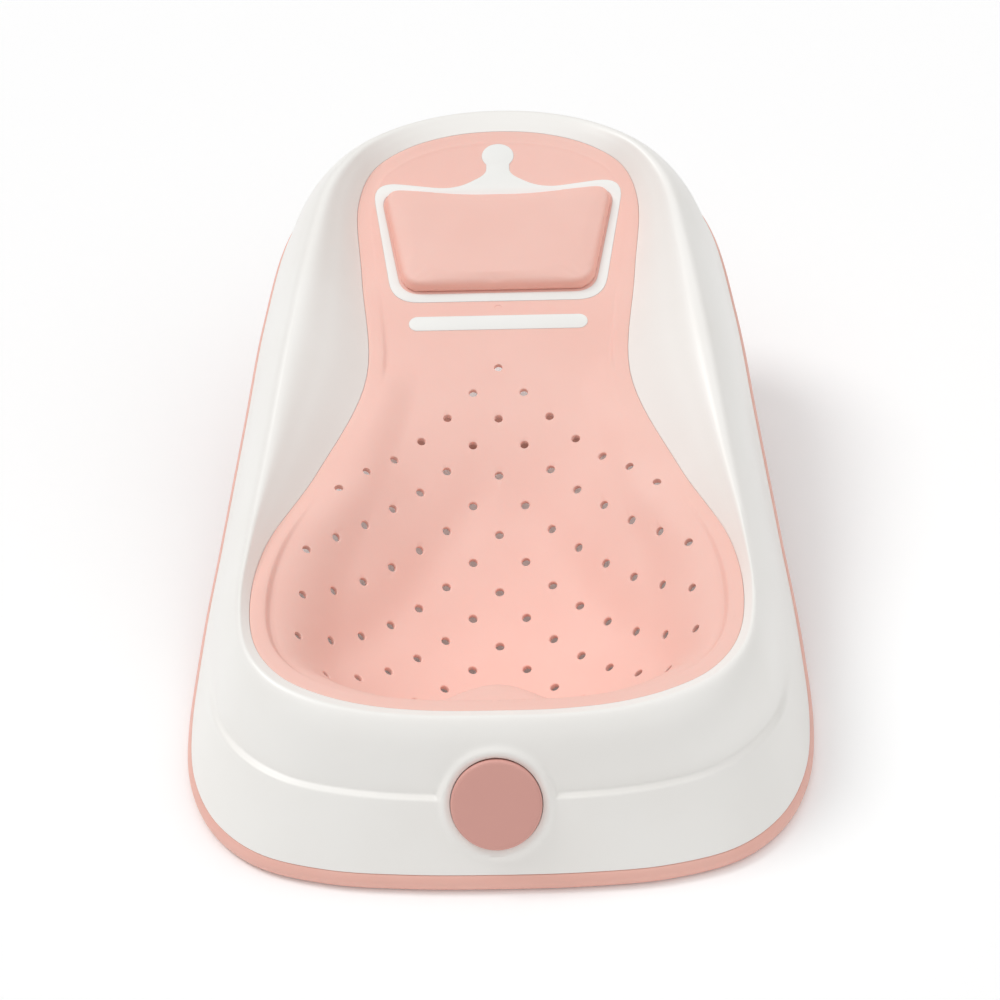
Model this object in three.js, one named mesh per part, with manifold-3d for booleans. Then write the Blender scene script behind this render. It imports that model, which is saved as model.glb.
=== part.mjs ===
// Baby bath support: a white moulded shell on a coloured perimeter base, a perforated soft seat,
// a raised head cushion inside a moulded border, a round front disc and a folding rear stand.
// Millimetres, +Z up. The foot end is at -Y, the head end at +Y, the floor at z = 0.
import * as THREE from 'three';
import { mergeGeometries, mergeVertices } from 'three/addons/utils/BufferGeometryUtils.js';
import Module from 'manifold-3d';

const wasm = await Module();
wasm.setup();

// ---- driving dimensions --------------------------------------------------------------------
const LENGTH = 560;            // foot end to head end of the base
const GAP = 0.35;              // clearance kept between neighbouring pieces
const STEPS = 2;               // loft stations between two outline points

const BASE = { height: 9, width: 18, ground: 1, slope: 0.36, knee: 165, kneeReach: 40 };
const WALL = { inset: 2.6, thickness: 2.6, ledgeStep: 3.8, flange: 6.5, flangeThickness: 2.4 };
const SEAT = { thickness: 3.2, border: 9, stepWidth: 2, stepDepth: 2, rings: 4 };
const SPINE = { front: 95, back: 490 };
const DECK = { slope: 0.384, zero: -26.7, from: 345 };
const HOLES = { radius: 2.7, pitchX: 15.4, pitchY: 16.9, first: 345, sides: 6 };
const POMMEL = { halfWidth: 39, reach: 20, fadeFrom: 100, fadeTo: 150 };
const CUSHION = { topHalf: 72, bottomHalf: 57.5, top: 472, bottom: 402.5, corner: 11, height: 5.2,
                  bevel: 1.6 };
const BORDER = { depth: 1.2, proud: 0.3, ballRadius: 10.4, ballAt: 506.7 };
const BAR = { at: 377.7, halfLength: 55.5, width: 11 };
const DISC = { radius: 23.7, thickness: 5.4, tilt: 29, at: 16.2, height: 45.8,
               recess: 1.6, collar: 29, stem: 11, stemLength: 9 };
const BEAM = { at: 418, halfLength: 136, width: 22, thickness: 7, tabFrom: 119, tabTo: 136,
               tabWidth: 18 };
const HINGE = { at: 412, height: 90.4, pin: 2.6, hub: 7.6, legX: 105, legWidth: 13, ear: 6 };
const STAND = { footAt: 424, footWidth: 30, footHeight: 14, legDepth: 13, corner: 5, padX: 92 };
const SCREW = { head: 3.2, headHeight: 1.9, seat: 2.4, shank: 1.5, clearance: 1.9, length: 17,
                inset: 11.5, beamLength: 12.5, boss: 4, bossHeight: 7, hollow: 24 };
const PAD = { radius: 4.6, standRadius: 6.9, thickness: 2.8, inset: 9 };

// ---- the outlines ----------------------------------------------------------------------------
// Each row is one place along the half outline, from the foot end's middle round to the head
// end's middle: [x, distance from the foot end] of the base edge, then [x, distance, height] of
// the rim's crest, and of the edge of the soft seat.
const HALF_OUTLINE = [
  { base: [0, 0], crest: [0, 43, 83], seat: [0, 50, 81] },
  { base: [48, 1.2], crest: [38, 44, 83], seat: [36, 51, 81] },
  { base: [90, 6], crest: [70, 49, 83.3], seat: [66, 55.5, 81.3] },
  { base: [127, 19], crest: [97, 59, 84], seat: [92, 64.5, 82] },
  { base: [152, 43], crest: [119, 75, 85], seat: [113, 78.5, 82.6] },
  { base: [168, 78], crest: [134, 99, 86.5], seat: [128, 101, 83.6] },
  { base: [175, 125], crest: [140.5, 138, 89.5], seat: [135, 138, 84.8] },
  { base: [174.5, 188], crest: [138, 190, 97], seat: [131, 189, 86.6] },
  { base: [168, 254], crest: [131.5, 256, 113], seat: [106, 257, 90.5] },
  { base: [159.5, 339], crest: [123.5, 338, 139], seat: [80.5, 336, 106] },
  { base: [152, 415], crest: [115, 414, 159], seat: [86, 413, 131.9] },
  { base: [139, 485], crest: [106, 470, 172], seat: [90, 470, 153.8] },
  { base: [118, 523], crest: [86, 507.5, 177.5], seat: [81, 497.5, 164.3] },
  { base: [86, 547], crest: [62, 528, 180], seat: [60.5, 514, 170.7] },
  { base: [46, 557.5], crest: [33, 541.5, 181.3], seat: [32, 524, 174.5] },
  { base: [0, 560], crest: [0, 545.5, 181.8], seat: [0, 527, 175.7] },
];
// Places of the ledge that runs round the foot end and dies out along the sides.
const LEDGE = [
  [0, 21, 45], [44, 22.5, 45], [82, 29, 44.8], [114, 41, 44.4],
  [138, 62, 43.8], [155, 92, 42.8], [164.5, 140, 41], [166.5, 194, 40],
];
const LEDGE_STEPS = [1, 1, 1, 1, 1, 0.9, 0.6, 0.25];

const mix = THREE.MathUtils.lerp;
const radians = THREE.MathUtils.degToRad;
const toY = (distance) => distance - LENGTH / 2;
const fade = (value, from, to) => THREE.MathUtils.clamp((to - value) / (to - from), 0, 1);

// Height of the base's underside: level under the seat, then rising towards the head end.
function lift(distance) {
  const past = distance - BASE.knee;
  if (past <= -BASE.kneeReach) return BASE.ground;
  if (past >= BASE.kneeReach) return BASE.ground + BASE.slope * past;
  return BASE.ground + (BASE.slope * (past + BASE.kneeReach) ** 2) / (4 * BASE.kneeReach);
}

// A value that runs smoothly through a few [distance, value] places.
function profile(places) {
  const curve = new THREE.SplineCurve(places.map(([x, y]) => new THREE.Vector2(x, y)));
  const samples = curve.getPoints(places.length * 12);
  return (x) => {
    const next = samples.findIndex((sample) => sample.x >= x);
    if (next === 0) return samples[0].y;
    if (next < 0) return samples.at(-1).y;
    const before = samples[next - 1];
    const after = samples[next];
    return mix(before.y, after.y, (x - before.x) / (after.x - before.x));
  };
}

function mirrored(half) {
  const back = half.slice(1, -1).reverse().map(([x, ...rest]) => [-x, ...rest]);
  return [...half, ...back];
}

function outline(half) {
  const points = mirrored(half).map(([x, d, z]) => new THREE.Vector3(x, toY(d), z));
  return new THREE.CatmullRomCurve3(points, true, 'centripetal');
}

const baseCurve = outline(HALF_OUTLINE.map(({ base }) => [...base, 0]));
const crestCurve = outline(HALF_OUTLINE.map(({ crest }) => crest));
const seatCurve = outline(HALF_OUTLINE.map(({ seat }) => seat));
const ledgeCurve = outline(HALF_OUTLINE.map(({ base, crest }, i) => {
  if (LEDGE[i]) return LEDGE[i];
  const foot = [base[0], base[1], lift(base[1]) + BASE.height];
  return foot.map((value, axis) => mix(value, crest[axis], 0.2));
}));
const stepCurve = outline(HALF_OUTLINE.map((_, i) => [i, i, LEDGE_STEPS[i] ?? 0]));

const STATIONS = (HALF_OUTLINE.length - 1) * 2 * STEPS;
const stations = Array.from({ length: STATIONS }, (_, i) => {
  const t = i / STATIONS;
  const base = baseCurve.getPoint(t);
  base.z = lift(base.y + LENGTH / 2);
  const seat = seatCurve.getPoint(t);
  const inward = new THREE.Vector3(seat.x - base.x, seat.y - base.y, 0).normalize();
  return { base, seat, inward, crest: crestCurve.getPoint(t), ledge: ledgeCurve.getPoint(t),
           step: Math.max(0, stepCurve.getPoint(t).z) };
});

// The border band is level round the bowl and lies along the deck's slope round the head.
function bandHeight(edge, p) {
  const share = 1 - fade(edge.y + LENGTH / 2, 300, DECK.from);
  return edge.z + share * DECK.slope * (p.y - edge.y);
}

// ---- helpers ---------------------------------------------------------------------------------
function solid(geometry) {
  const bare = geometry.clone();
  bare.deleteAttribute('normal');
  bare.deleteAttribute('uv');
  const merged = mergeVertices(bare, 1e-4);
  return new wasm.Manifold(new wasm.Mesh({
    numProp: 3,
    vertProperties: merged.attributes.position.array,
    triVerts: Uint32Array.from(merged.index.array),
  }));
}

function geometryOf(body) {
  const { vertProperties, triVerts } = body.getMesh();
  const geometry = new THREE.BufferGeometry();
  geometry.setAttribute('position', new THREE.BufferAttribute(vertProperties, 3));
  geometry.setIndex(new THREE.BufferAttribute(triVerts, 1));
  const flat = geometry.toNonIndexed();
  flat.computeVertexNormals();
  return flat;
}

// Joins closed rings of points into one closed tube that also closes on itself.
function ringLoft(sections) {
  const count = sections[0].length;
  const positions = [];
  const quad = (a, b, c, d) => {
    for (const p of [a, b, c, a, c, d]) positions.push(p.x, p.y, p.z);
  };
  sections.forEach((section, i) => {
    const next = sections[(i + 1) % sections.length];
    for (let j = 0; j < count; j += 1) {
      const k = (j + 1) % count;
      quad(section[j], next[j], next[k], section[k]);
    }
  });
  const geometry = new THREE.BufferGeometry();
  geometry.setAttribute('position', new THREE.Float32BufferAttribute(positions, 3));
  geometry.computeVertexNormals();
  return geometry;
}

function box(width, depth, height, x, y, z) {
  return new THREE.BoxGeometry(width, depth, height).translate(x, y, z);
}

function cylinder(radius, from, to, sides = 20) {
  const geometry = new THREE.CylinderGeometry(radius, radius, to - from, sides);
  return geometry.rotateX(Math.PI / 2).translate(0, 0, (from + to) / 2);
}

// A turned piece round the Z axis from [radius, height] places, bottom first.
function turned(places, sides = 32) {
  const points = places.map(([r, z]) => new THREE.Vector2(r, z));
  return new THREE.LatheGeometry(points, sides).rotateX(Math.PI / 2);
}

// The stepped hole that a screw needs, from its head's seat at z = 0 of the piece it enters.
function screwSpace() {
  const wide = SCREW.head + 0.6;
  const shoulder = SCREW.seat + SCREW.headHeight + GAP;
  return turned([[0, -8], [wide, -8], [wide, shoulder], [SCREW.clearance, shoulder],
                 [SCREW.clearance, SCREW.hollow], [0, SCREW.hollow]], 12);
}

function screw(length) {
  const top = SCREW.seat + SCREW.headHeight;
  return turned([[0, SCREW.seat + 0.8], [1.1, SCREW.seat + 0.8], [1.4, SCREW.seat], [2.3, SCREW.seat],
                 [SCREW.head, SCREW.seat + 0.7], [SCREW.head, top], [SCREW.shank, top],
                 [SCREW.shank, length - 1.2], [0, length]], 10);
}

const group = new THREE.Group();

function addPart(name, geometry, material, parent = group) {
  const mesh = new THREE.Mesh(geometry, new THREE.MeshStandardMaterial(material));
  mesh.name = name;
  parent.add(mesh);
  return mesh;
}

const WHITE = { color: 0xf1efeb, roughness: 0.42, metalness: 0 };
const PINK = { color: 0xf4bcae, roughness: 0.6, metalness: 0 };
const BASE_PINK = { color: 0xe0a398, roughness: 0.55, metalness: 0 };
const ROSE = { color: 0xcf998e, roughness: 0.5, metalness: 0 };
const RUBBER = { color: 0xb98f88, roughness: 0.85, metalness: 0 };
const STEEL = { color: 0xb9bcc0, roughness: 0.3, metalness: 1 };

// ---- the disc's tilted frame -------------------------------------------------------------------
// Local z = 0 is the collar's face; the disc stands on it and its stem reaches in behind.
const discGroup = new THREE.Group();
discGroup.position.set(0, toY(DISC.at), DISC.height);
discGroup.rotation.x = radians(90 - DISC.tilt);
discGroup.translateZ(-DISC.thickness);
discGroup.updateMatrix();
group.add(discGroup);

// ---- the deck's sloping frame -----------------------------------------------------------------
const deckHeight = (distance) => DECK.zero + DECK.slope * distance;
const deckAngle = Math.atan(DECK.slope);
const deckGroup = new THREE.Group();
deckGroup.position.set(0, toY(0), DECK.zero);
deckGroup.rotation.x = deckAngle;
deckGroup.updateMatrix();
group.add(deckGroup);
const alongDeck = (distance) => distance / Math.cos(deckAngle);

// ---- the hinge beam's frame, lying on the base's sloping top -------------------------------
const beamGroup = new THREE.Group();
beamGroup.position.set(0, toY(BEAM.at), lift(BEAM.at) + BASE.height + GAP);
beamGroup.rotation.x = Math.atan(BASE.slope);
beamGroup.updateMatrix();
group.add(beamGroup);
const inBeam = (geometry) => solid(geometry.applyMatrix4(beamGroup.matrix));

// ---- screw and pad places ------------------------------------------------------------------
const SCREW_ROWS = [1.5, 4.5, 8.5, 12.5];
const PAD_ROWS = [2.5, 5.5];
function standing(station, inset) {
  const p = station.base.clone().addScaledVector(station.inward, inset);
  return p.setZ(lift(p.y + LENGTH / 2));
}
const bothSides = (rows) => rows.flatMap((row) => [
  { side: 'right', station: stations[row * STEPS] },
  { side: 'left', station: stations[STATIONS - row * STEPS] },
]);
const screwPlaces = bothSides(SCREW_ROWS).map(({ side, station }, i) => ({
  name: `base_screw_${side}_${Math.floor(i / 2) + 1}`, at: standing(station, SCREW.inset),
}));
const padPlaces = bothSides(PAD_ROWS).map(({ side, station }, i) => ({
  name: `base_pad_${side}_${Math.floor(i / 2) + 1}`, at: standing(station, PAD.inset),
}));

// ---- outer shell -----------------------------------------------------------------------------
function wallSection({ base, ledge, step, crest, seat, inward }) {
  const out = (p) => (p.x - base.x) * inward.x + (p.y - base.y) * inward.y;
  const at = (offset, z) => inward.clone().multiplyScalar(offset).add(base).setZ(z);
  const under = at(WALL.inset, 0).y + LENGTH / 2;
  const foot = [WALL.inset, lift(under) + BASE.height + GAP];
  const ledgeOut = [out(ledge), ledge.z];
  const ledgeIn = [ledgeOut[0] + WALL.ledgeStep * step, ledge.z + 1.2 * step];
  const top = [out(crest), crest.z];
  const bend = [mix(ledgeIn[0], top[0], 0.36), mix(ledgeIn[1], top[1], 0.78)];
  const arc = (t) => [0, 1].map((k) => mix(mix(ledgeIn[k], bend[k], t), mix(bend[k], top[k], t), t));
  const edge = [out(seat), seat.z];
  const slope = [mix(top[0], edge[0], 0.45), mix(top[1], edge[1], 0.36)];
  const outer = [foot, ledgeOut, ledgeIn, arc(0.35), arc(0.7), top, slope, edge];
  const inner = outer.slice(0, -1).map((p, i) => {
    const before = outer[Math.max(0, i - 1)];
    const after = outer[i + 1];
    const run = Math.hypot(after[0] - before[0], after[1] - before[1]) || 1;
    const normal = [(after[1] - before[1]) / run, -(after[0] - before[0]) / run];
    const lowest = i === 0 ? foot[1] : -Infinity;
    return [p[0] + normal[0] * WALL.thickness,
            Math.max(lowest, p[1] + normal[1] * WALL.thickness)];
  });
  const shelf = (offset) => bandHeight(seat, at(offset, 0)) - SEAT.thickness - GAP;
  const flange = [
    [edge[0], shelf(edge[0])], [edge[0] + WALL.flange, shelf(edge[0] + WALL.flange)],
    [edge[0] + WALL.flange, shelf(edge[0] + WALL.flange) - WALL.flangeThickness],
    [edge[0] - 1, shelf(edge[0]) - WALL.flangeThickness],
  ];
  return [...outer, ...flange, ...inner.reverse()].map(([offset, z]) => at(offset, z));
}

let shell = solid(ringLoft(stations.map(wallSection)));
const collarProfile = [[0, -12], [DISC.collar - 1, -12], [DISC.collar, -6], [DISC.collar, -0.5],
                       [DISC.collar - 1.4, 0.9], [0, 0.9]];
const discSpace = cylinder(DISC.radius + GAP + 0.1, -DISC.recess, 60, 28);
const stemSpace = cylinder(DISC.stem + GAP, -40, 10, 20);
const inDisc = (geometry) => solid(geometry.applyMatrix4(discGroup.matrix));
shell = shell.add(inDisc(turned(collarProfile, 30)));
shell = shell.subtract(inDisc(discSpace)).subtract(inDisc(stemSpace));
for (const { at } of screwPlaces) {
  const from = at.z + BASE.height + GAP + BASE.slope * SCREW.boss;
  const boss = cylinder(SCREW.boss, from, from + SCREW.bossHeight, 14);
  shell = shell.add(solid(boss.translate(at.x, at.y, 0)));
}
for (const { at } of screwPlaces) {
  const hole = cylinder(SCREW.clearance, at.z, at.z + SCREW.length + 0.6, 10);
  shell = shell.subtract(solid(hole.translate(at.x, at.y, 0)));
}
addPart('outer_shell', geometryOf(shell), WHITE);

// ---- perimeter base --------------------------------------------------------------------------
const BASE_PROFILE = [[2.4, 0], [0.6, 1.2], [0, 3.4], [0, 6.6], [0.8, BASE.height - 0.6],
                      [2.2, BASE.height], [BASE.width, BASE.height], [BASE.width, 2],
                      [BASE.width - 2, 0]];
function baseSection({ base, inward }) {
  return BASE_PROFILE.map(([offset, z]) => {
    const p = base.clone().addScaledVector(inward, offset);
    return p.setZ(lift(p.y + LENGTH / 2) + z);
  });
}

let baseRim = solid(ringLoft(stations.map(baseSection)));
for (const { at } of screwPlaces) {
  baseRim = baseRim.subtract(solid(screwSpace().translate(at.x, at.y, at.z)));
}
for (const { at } of padPlaces) {
  const pocket = cylinder(PAD.radius + GAP, -1, PAD.thickness + GAP, 16);
  baseRim = baseRim.subtract(solid(pocket.translate(at.x, at.y, 0)));
}

const tab = () => box(BEAM.tabTo - BEAM.tabFrom, BEAM.tabWidth, BASE.height,
                      0, 0, -BASE.height / 2 - GAP);
const tabCentre = (BEAM.tabFrom + BEAM.tabTo) / 2 - 1;
const SIDES = [['right', 1], ['left', -1]];
for (const [, sign] of SIDES) {
  const middle = (sign * (BEAM.tabFrom + BEAM.tabTo)) / 2;
  baseRim = baseRim.add(inBeam(tab().translate(middle, 0, 0)));
  const space = screwSpace().translate(sign * tabCentre, 0, -BASE.height - GAP);
  baseRim = baseRim.subtract(inBeam(space));
}
addPart('base_rim', geometryOf(baseRim), BASE_PINK);

// ---- fasteners and pads of the base ----------------------------------------------------------
for (const { name, at } of screwPlaces) {
  addPart(name, screw(SCREW.length), STEEL).position.copy(at);
}
for (const { name, at } of padPlaces) {
  addPart(name, cylinder(PAD.radius, 0, PAD.thickness, 16), RUBBER).position.set(at.x, at.y, 0);
}

// ---- soft seat -------------------------------------------------------------------------------
const middleHeight = profile([
  [50, 79], [60, 77], [80, 46], [100, 22.5], [120, 16], [142, 15.5], [176, 23], [210, 36.5],
  [244, 53.5], [294, 82.5], [DECK.from, deckHeight(DECK.from)],
]);
const curl = profile([
  [50, 0.0046], [200, 0.0052], [245, 0.0058], [262, 0.0048], [294, 0.002], [DECK.from, 0],
]);

// Height of the seat's top at a place x, distance, beside an edge of height edgeZ.
function seatHeight(x, distance, edgeZ) {
  if (distance >= DECK.from) return deckHeight(distance);
  const beside = Math.max(0, 1 - (x / POMMEL.halfWidth) ** 2);
  const pushed = POMMEL.reach * beside ** 2 * fade(distance, POMMEL.fadeFrom, POMMEL.fadeTo);
  const bowl = middleHeight(distance - pushed) + curl(distance) * x * x;
  const shoulder = edgeZ - SEAT.stepDepth * fade(distance, 300, DECK.from);
  const softness = 10 * fade(distance, 250, DECK.from);
  return (bowl + shoulder - Math.hypot(bowl - shoulder, softness)) / 2;
}

// Rings of the seat's top from its edge in to the middle line.
function seatLevels() {
  const ends = [stations[0].seat.y, stations[STATIONS / 2].seat.y];
  const level = (offset, flat) => stations.map(({ seat, inward }) => {
    const p = seat.clone().addScaledVector(inward, offset);
    return p.setZ(flat ? bandHeight(seat, p) : seatHeight(p.x, p.y + LENGTH / 2, seat.z));
  });
  const band = SEAT.border + SEAT.stepWidth;
  const levels = [level(GAP, true), level(SEAT.border, true), level(band, false)];
  for (let k = 1; k <= SEAT.rings + 1; k += 1) {
    levels.push(stations.map(({ seat }, i) => {
      const share = (seat.y - ends[0]) / (ends[1] - ends[0]);
      const middle = new THREE.Vector3(0, toY(mix(SPINE.front, SPINE.back, share)), 0);
      const p = levels[2][i].clone().lerp(middle, k / (SEAT.rings + 1));
      return p.setZ(seatHeight(p.x, p.y + LENGTH / 2, seat.z));
    }));
  }
  return levels;
}

// A sheet of even thickness from nested rings whose last ring folds onto the middle line.
function sheet(levels, thickness) {
  const positions = [];
  const triangle = (...points) => points.forEach((p) => positions.push(p.x, p.y, p.z));
  const quad = (a, b, c, d) => {
    triangle(a, b, c);
    triangle(a, c, d);
  };
  const under = levels.map((ring) => ring.map((p) => p.clone().setZ(p.z - thickness)));
  const count = levels[0].length;
  for (let i = 0; i < count; i += 1) {
    const j = (i + 1) % count;
    quad(under[0][i], under[0][j], levels[0][j], levels[0][i]);
    for (let k = 0; k + 1 < levels.length; k += 1) {
      quad(levels[k][i], levels[k][j], levels[k + 1][j], levels[k + 1][i]);
      quad(under[k][j], under[k][i], under[k + 1][i], under[k + 1][j]);
    }
  }
  const geometry = new THREE.BufferGeometry();
  geometry.setAttribute('position', new THREE.Float32BufferAttribute(positions, 3));
  return geometry;
}

// First and last row of drain holes in each column out from the middle.
const HOLE_ROWS = [[0, 10], [1, 11], [2, 12], [3, 13], [4, 12], [5, 13], [6, 14], [9, 13]];
const drains = [];
HOLE_ROWS.forEach(([first, last], column) => {
  for (let row = first; row <= last; row += 2) {
    for (const side of column === 0 ? [1] : [1, -1]) {
      const distance = HOLES.first - HOLES.pitchY * row;
      drains.push(cylinder(HOLES.radius, 2, 160, HOLES.sides)
        .translate(side * column * HOLES.pitchX, toY(distance), 0));
    }
  }
});

// A closed path through corners [x, y, radius], each rounded to its radius.
function roundedPath(corners, path = new THREE.Shape()) {
  const vertices = corners.map(([x, y]) => new THREE.Vector2(x, y));
  corners.forEach(([, , radius], i) => {
    const here = vertices[i];
    const before = vertices.at(i - 1).clone().sub(here);
    const after = vertices[(i + 1) % vertices.length].clone().sub(here);
    const enter = here.clone().add(before.setLength(Math.min(radius, before.length() / 2.01)));
    const leave = here.clone().add(after.setLength(Math.min(radius, after.length() / 2.01)));
    if (i === 0) path.moveTo(enter.x, enter.y);
    else path.lineTo(enter.x, enter.y);
    if (radius > 0) path.quadraticCurveTo(here.x, here.y, leave.x, leave.y);
  });
  path.closePath();
  return path;
}

const symmetric = (half) => [...half, ...half.slice().reverse().map(([x, y, r]) => [-x, y, r])];

// The moulded border round the head cushion: a rounded frame with a stalk and ball on top.
function borderShape(grow = 0) {
  const d = alongDeck;
  const ball = BORDER.ballRadius + grow;
  const half = [[66 + grow, d(393.5) - grow, 17], [82 + grow, d(488) + grow, 19],
                [28, d(480) + grow, 14], [7.5 + grow, d(492), 7]];
  const from = Math.asin((7.5 + grow) / ball);
  for (let k = 0; k <= 5; k += 1) {
    const angle = mix(from, Math.PI, k / 5.5);
    half.push([ball * Math.sin(angle), d(BORDER.ballAt) - ball * Math.cos(angle), 0.8]);
  }
  const shape = roundedPath(symmetric(half));
  const inner = [[60.5 - grow, d(399.6) + grow, 13], [76 - grow, d(479.5) - grow, 15],
                 [20, d(473.8) - grow, 10]];
  shape.holes.push(roundedPath(symmetric(inner), new THREE.Path()));
  return shape;
}

function barShape(grow = 0) {
  const end = BAR.width / 2 + grow;
  const half = BAR.halfLength - BAR.width / 2;
  const shape = new THREE.Shape();
  shape.absarc(half, alongDeck(BAR.at), end, -Math.PI / 2, Math.PI / 2);
  shape.absarc(-half, alongDeck(BAR.at), end, Math.PI / 2, Math.PI * 1.5);
  return shape;
}

function inlay(shape, from, to) {
  const settings = { depth: to - from, bevelEnabled: false, curveSegments: 4 };
  return new THREE.ExtrudeGeometry(shape, settings).translate(0, 0, from);
}

let seat = solid(sheet(seatLevels(), SEAT.thickness));
seat = seat.subtract(solid(mergeGeometries(drains.map((hole) => hole.toNonIndexed()))));
for (const shape of [borderShape(GAP), barShape(GAP)]) {
  const recess = inlay(shape, -BORDER.depth - GAP, 4).applyMatrix4(deckGroup.matrix);
  seat = seat.subtract(solid(recess));
}
addPart('seat_membrane', geometryOf(seat), PINK);
addPart('head_border', inlay(borderShape(), -BORDER.depth, BORDER.proud), WHITE, deckGroup);
addPart('neck_bar', inlay(barShape(), -BORDER.depth, BORDER.proud), WHITE, deckGroup);

// ---- head cushion ----------------------------------------------------------------------------
const cushionHalf = [
  [CUSHION.bottomHalf - CUSHION.bevel, alongDeck(CUSHION.bottom) + CUSHION.bevel, CUSHION.corner],
  [CUSHION.topHalf - CUSHION.bevel, alongDeck(CUSHION.top) - CUSHION.bevel, CUSHION.corner],
];
const cushion = new THREE.ExtrudeGeometry(roundedPath(symmetric(cushionHalf)), {
  depth: CUSHION.height - GAP - 2 * CUSHION.bevel,
  bevelThickness: CUSHION.bevel, bevelSize: CUSHION.bevel, bevelSegments: 2, curveSegments: 5,
}).translate(0, 0, CUSHION.bevel + GAP);
addPart('head_cushion', cushion, PINK, deckGroup);

// ---- front disc ------------------------------------------------------------------------------
const seatOfDisc = -DISC.recess + GAP;
const stemEnd = seatOfDisc - DISC.stemLength;
const groove = { from: stemEnd + 3, to: stemEnd + 5.6, radius: DISC.stem - 1.6 };
addPart('front_disc', turned([
  [0, stemEnd], [DISC.stem - 0.8, stemEnd], [DISC.stem, stemEnd + 0.8], [DISC.stem, groove.from],
  [groove.radius, groove.from], [groove.radius, groove.to], [DISC.stem, groove.to],
  [DISC.stem, seatOfDisc], [DISC.radius - 0.5, seatOfDisc], [DISC.radius, seatOfDisc + 0.6],
  [DISC.radius, DISC.thickness - 1.2], [DISC.radius - 1.3, DISC.thickness], [0, DISC.thickness],
], 28), ROSE, discGroup);
const ring = { inside: groove.radius + 0.25, outside: DISC.stem + 0.1 };
addPart('disc_seal', turned([
  [ring.inside, groove.from + 0.3], [ring.outside, groove.from + 0.5],
  [ring.outside, groove.to - 0.5], [ring.inside, groove.to - 0.3], [ring.inside, groove.from + 0.3],
], 18), RUBBER, discGroup);

// ---- hinge beam ------------------------------------------------------------------------------
const acrossX = (radius, from, to, sides = 20) => cylinder(radius, from, to, sides).rotateY(Math.PI / 2);
const atHinge = (geometry) => geometry.translate(0, toY(HINGE.at), HINGE.height);
const legSides = [HINGE.legX - HINGE.legWidth / 2, HINGE.legX + HINGE.legWidth / 2];
let beam = inBeam(box(BEAM.halfLength * 2, BEAM.width, BEAM.thickness, 0, 0, BEAM.thickness / 2));
beam = beam.add(inBeam(box(legSides[0] * 2 - 20, 4, 7, 0, 0, -3)));
for (const [, sign] of SIDES) {
  for (const near of [legSides[0] - GAP - HINGE.ear, legSides[1] + GAP]) {
    const [from, to] = sign > 0 ? [near, near + HINGE.ear] : [-near - HINGE.ear, -near];
    beam = beam.add(solid(atHinge(acrossX(HINGE.hub, from, to))));
    const web = box(HINGE.ear, HINGE.hub * 2, 12, (from + to) / 2, 0, 6);
    beam = beam.add(solid(atHinge(web)));
  }
  beam = beam.subtract(inBeam(cylinder(SCREW.clearance, -1, 5.6, 10).translate(sign * tabCentre, 0, 0)));
}
beam = beam.subtract(solid(atHinge(acrossX(HINGE.pin + GAP, -150, 150))));
addPart('hinge_beam', geometryOf(beam), WHITE);
for (const [side, sign] of SIDES) {
  const name = `beam_screw_${side}`;
  addPart(name, screw(SCREW.beamLength), STEEL, beamGroup)
    .position.set(sign * tabCentre, 0, -BASE.height - GAP);
}

// ---- hinge pins ------------------------------------------------------------------------------
const pinHead = legSides[0] - GAP - HINGE.ear - GAP;
for (const [side, sign] of SIDES) {
  const pin = turned([[0, 0], [HINGE.pin + 1.4, 0], [HINGE.pin + 1.4, 2.2], [HINGE.pin, 2.2],
                      [HINGE.pin, 28], [HINGE.pin - 0.6, 28.6], [0, 28.6]], 18);
  pin.rotateY((sign * Math.PI) / 2).translate(sign * (pinHead - 2.2), 0, 0);
  addPart(`hinge_pin_${side}`, atHinge(pin), STEEL);
}

// ---- rear stand ------------------------------------------------------------------------------
const footLevel = BASE.ground + STAND.footHeight / 2;
const lean = Math.atan2(HINGE.at - STAND.footAt, HINGE.height - footLevel);
const reach = Math.hypot(HINGE.at - STAND.footAt, HINGE.height - footLevel);
const footSection = roundedPath([
  [-STAND.footWidth / 2, -STAND.footHeight / 2, 2], [STAND.footWidth / 2, -STAND.footHeight / 2, 2],
  [STAND.footWidth / 2, STAND.footHeight / 2, STAND.corner],
  [-STAND.footWidth / 2, STAND.footHeight / 2, STAND.corner],
]);
const footBar = new THREE.ExtrudeGeometry(footSection, {
  depth: legSides[1] * 2, bevelEnabled: false, curveSegments: 4,
}).rotateZ(Math.PI / 2).rotateY(Math.PI / 2).translate(-legSides[1], 0, 0);
footBar.translate(0, toY(STAND.footAt), footLevel);
let stand = solid(footBar);
for (const [, sign] of SIDES) {
  const [from, to] = sign > 0 ? legSides : [-legSides[1], -legSides[0]];
  const leg = box(HINGE.legWidth, STAND.legDepth, reach, sign * HINGE.legX, 0, -reach / 2);
  stand = stand.add(solid(atHinge(leg.rotateX(-lean))));
  stand = stand.add(solid(atHinge(acrossX(HINGE.hub, from, to))));
  const pocket = cylinder(PAD.standRadius + GAP, -1, PAD.thickness + GAP, 16);
  stand = stand.subtract(solid(pocket.translate(sign * STAND.padX, toY(STAND.footAt), 0)));
}
stand = stand.subtract(solid(atHinge(acrossX(HINGE.pin + GAP, -150, 150))));
addPart('rear_stand', geometryOf(stand), BASE_PINK);
for (const [side, sign] of SIDES) {
  addPart(`stand_pad_${side}`, cylinder(PAD.standRadius, 0, PAD.thickness, 16), RUBBER)
    .position.set(sign * STAND.padX, toY(STAND.footAt), 0);
}

export default group;
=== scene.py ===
import math

import bmesh
import bpy
import numpy as np
from mathutils import Matrix, Vector


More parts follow.
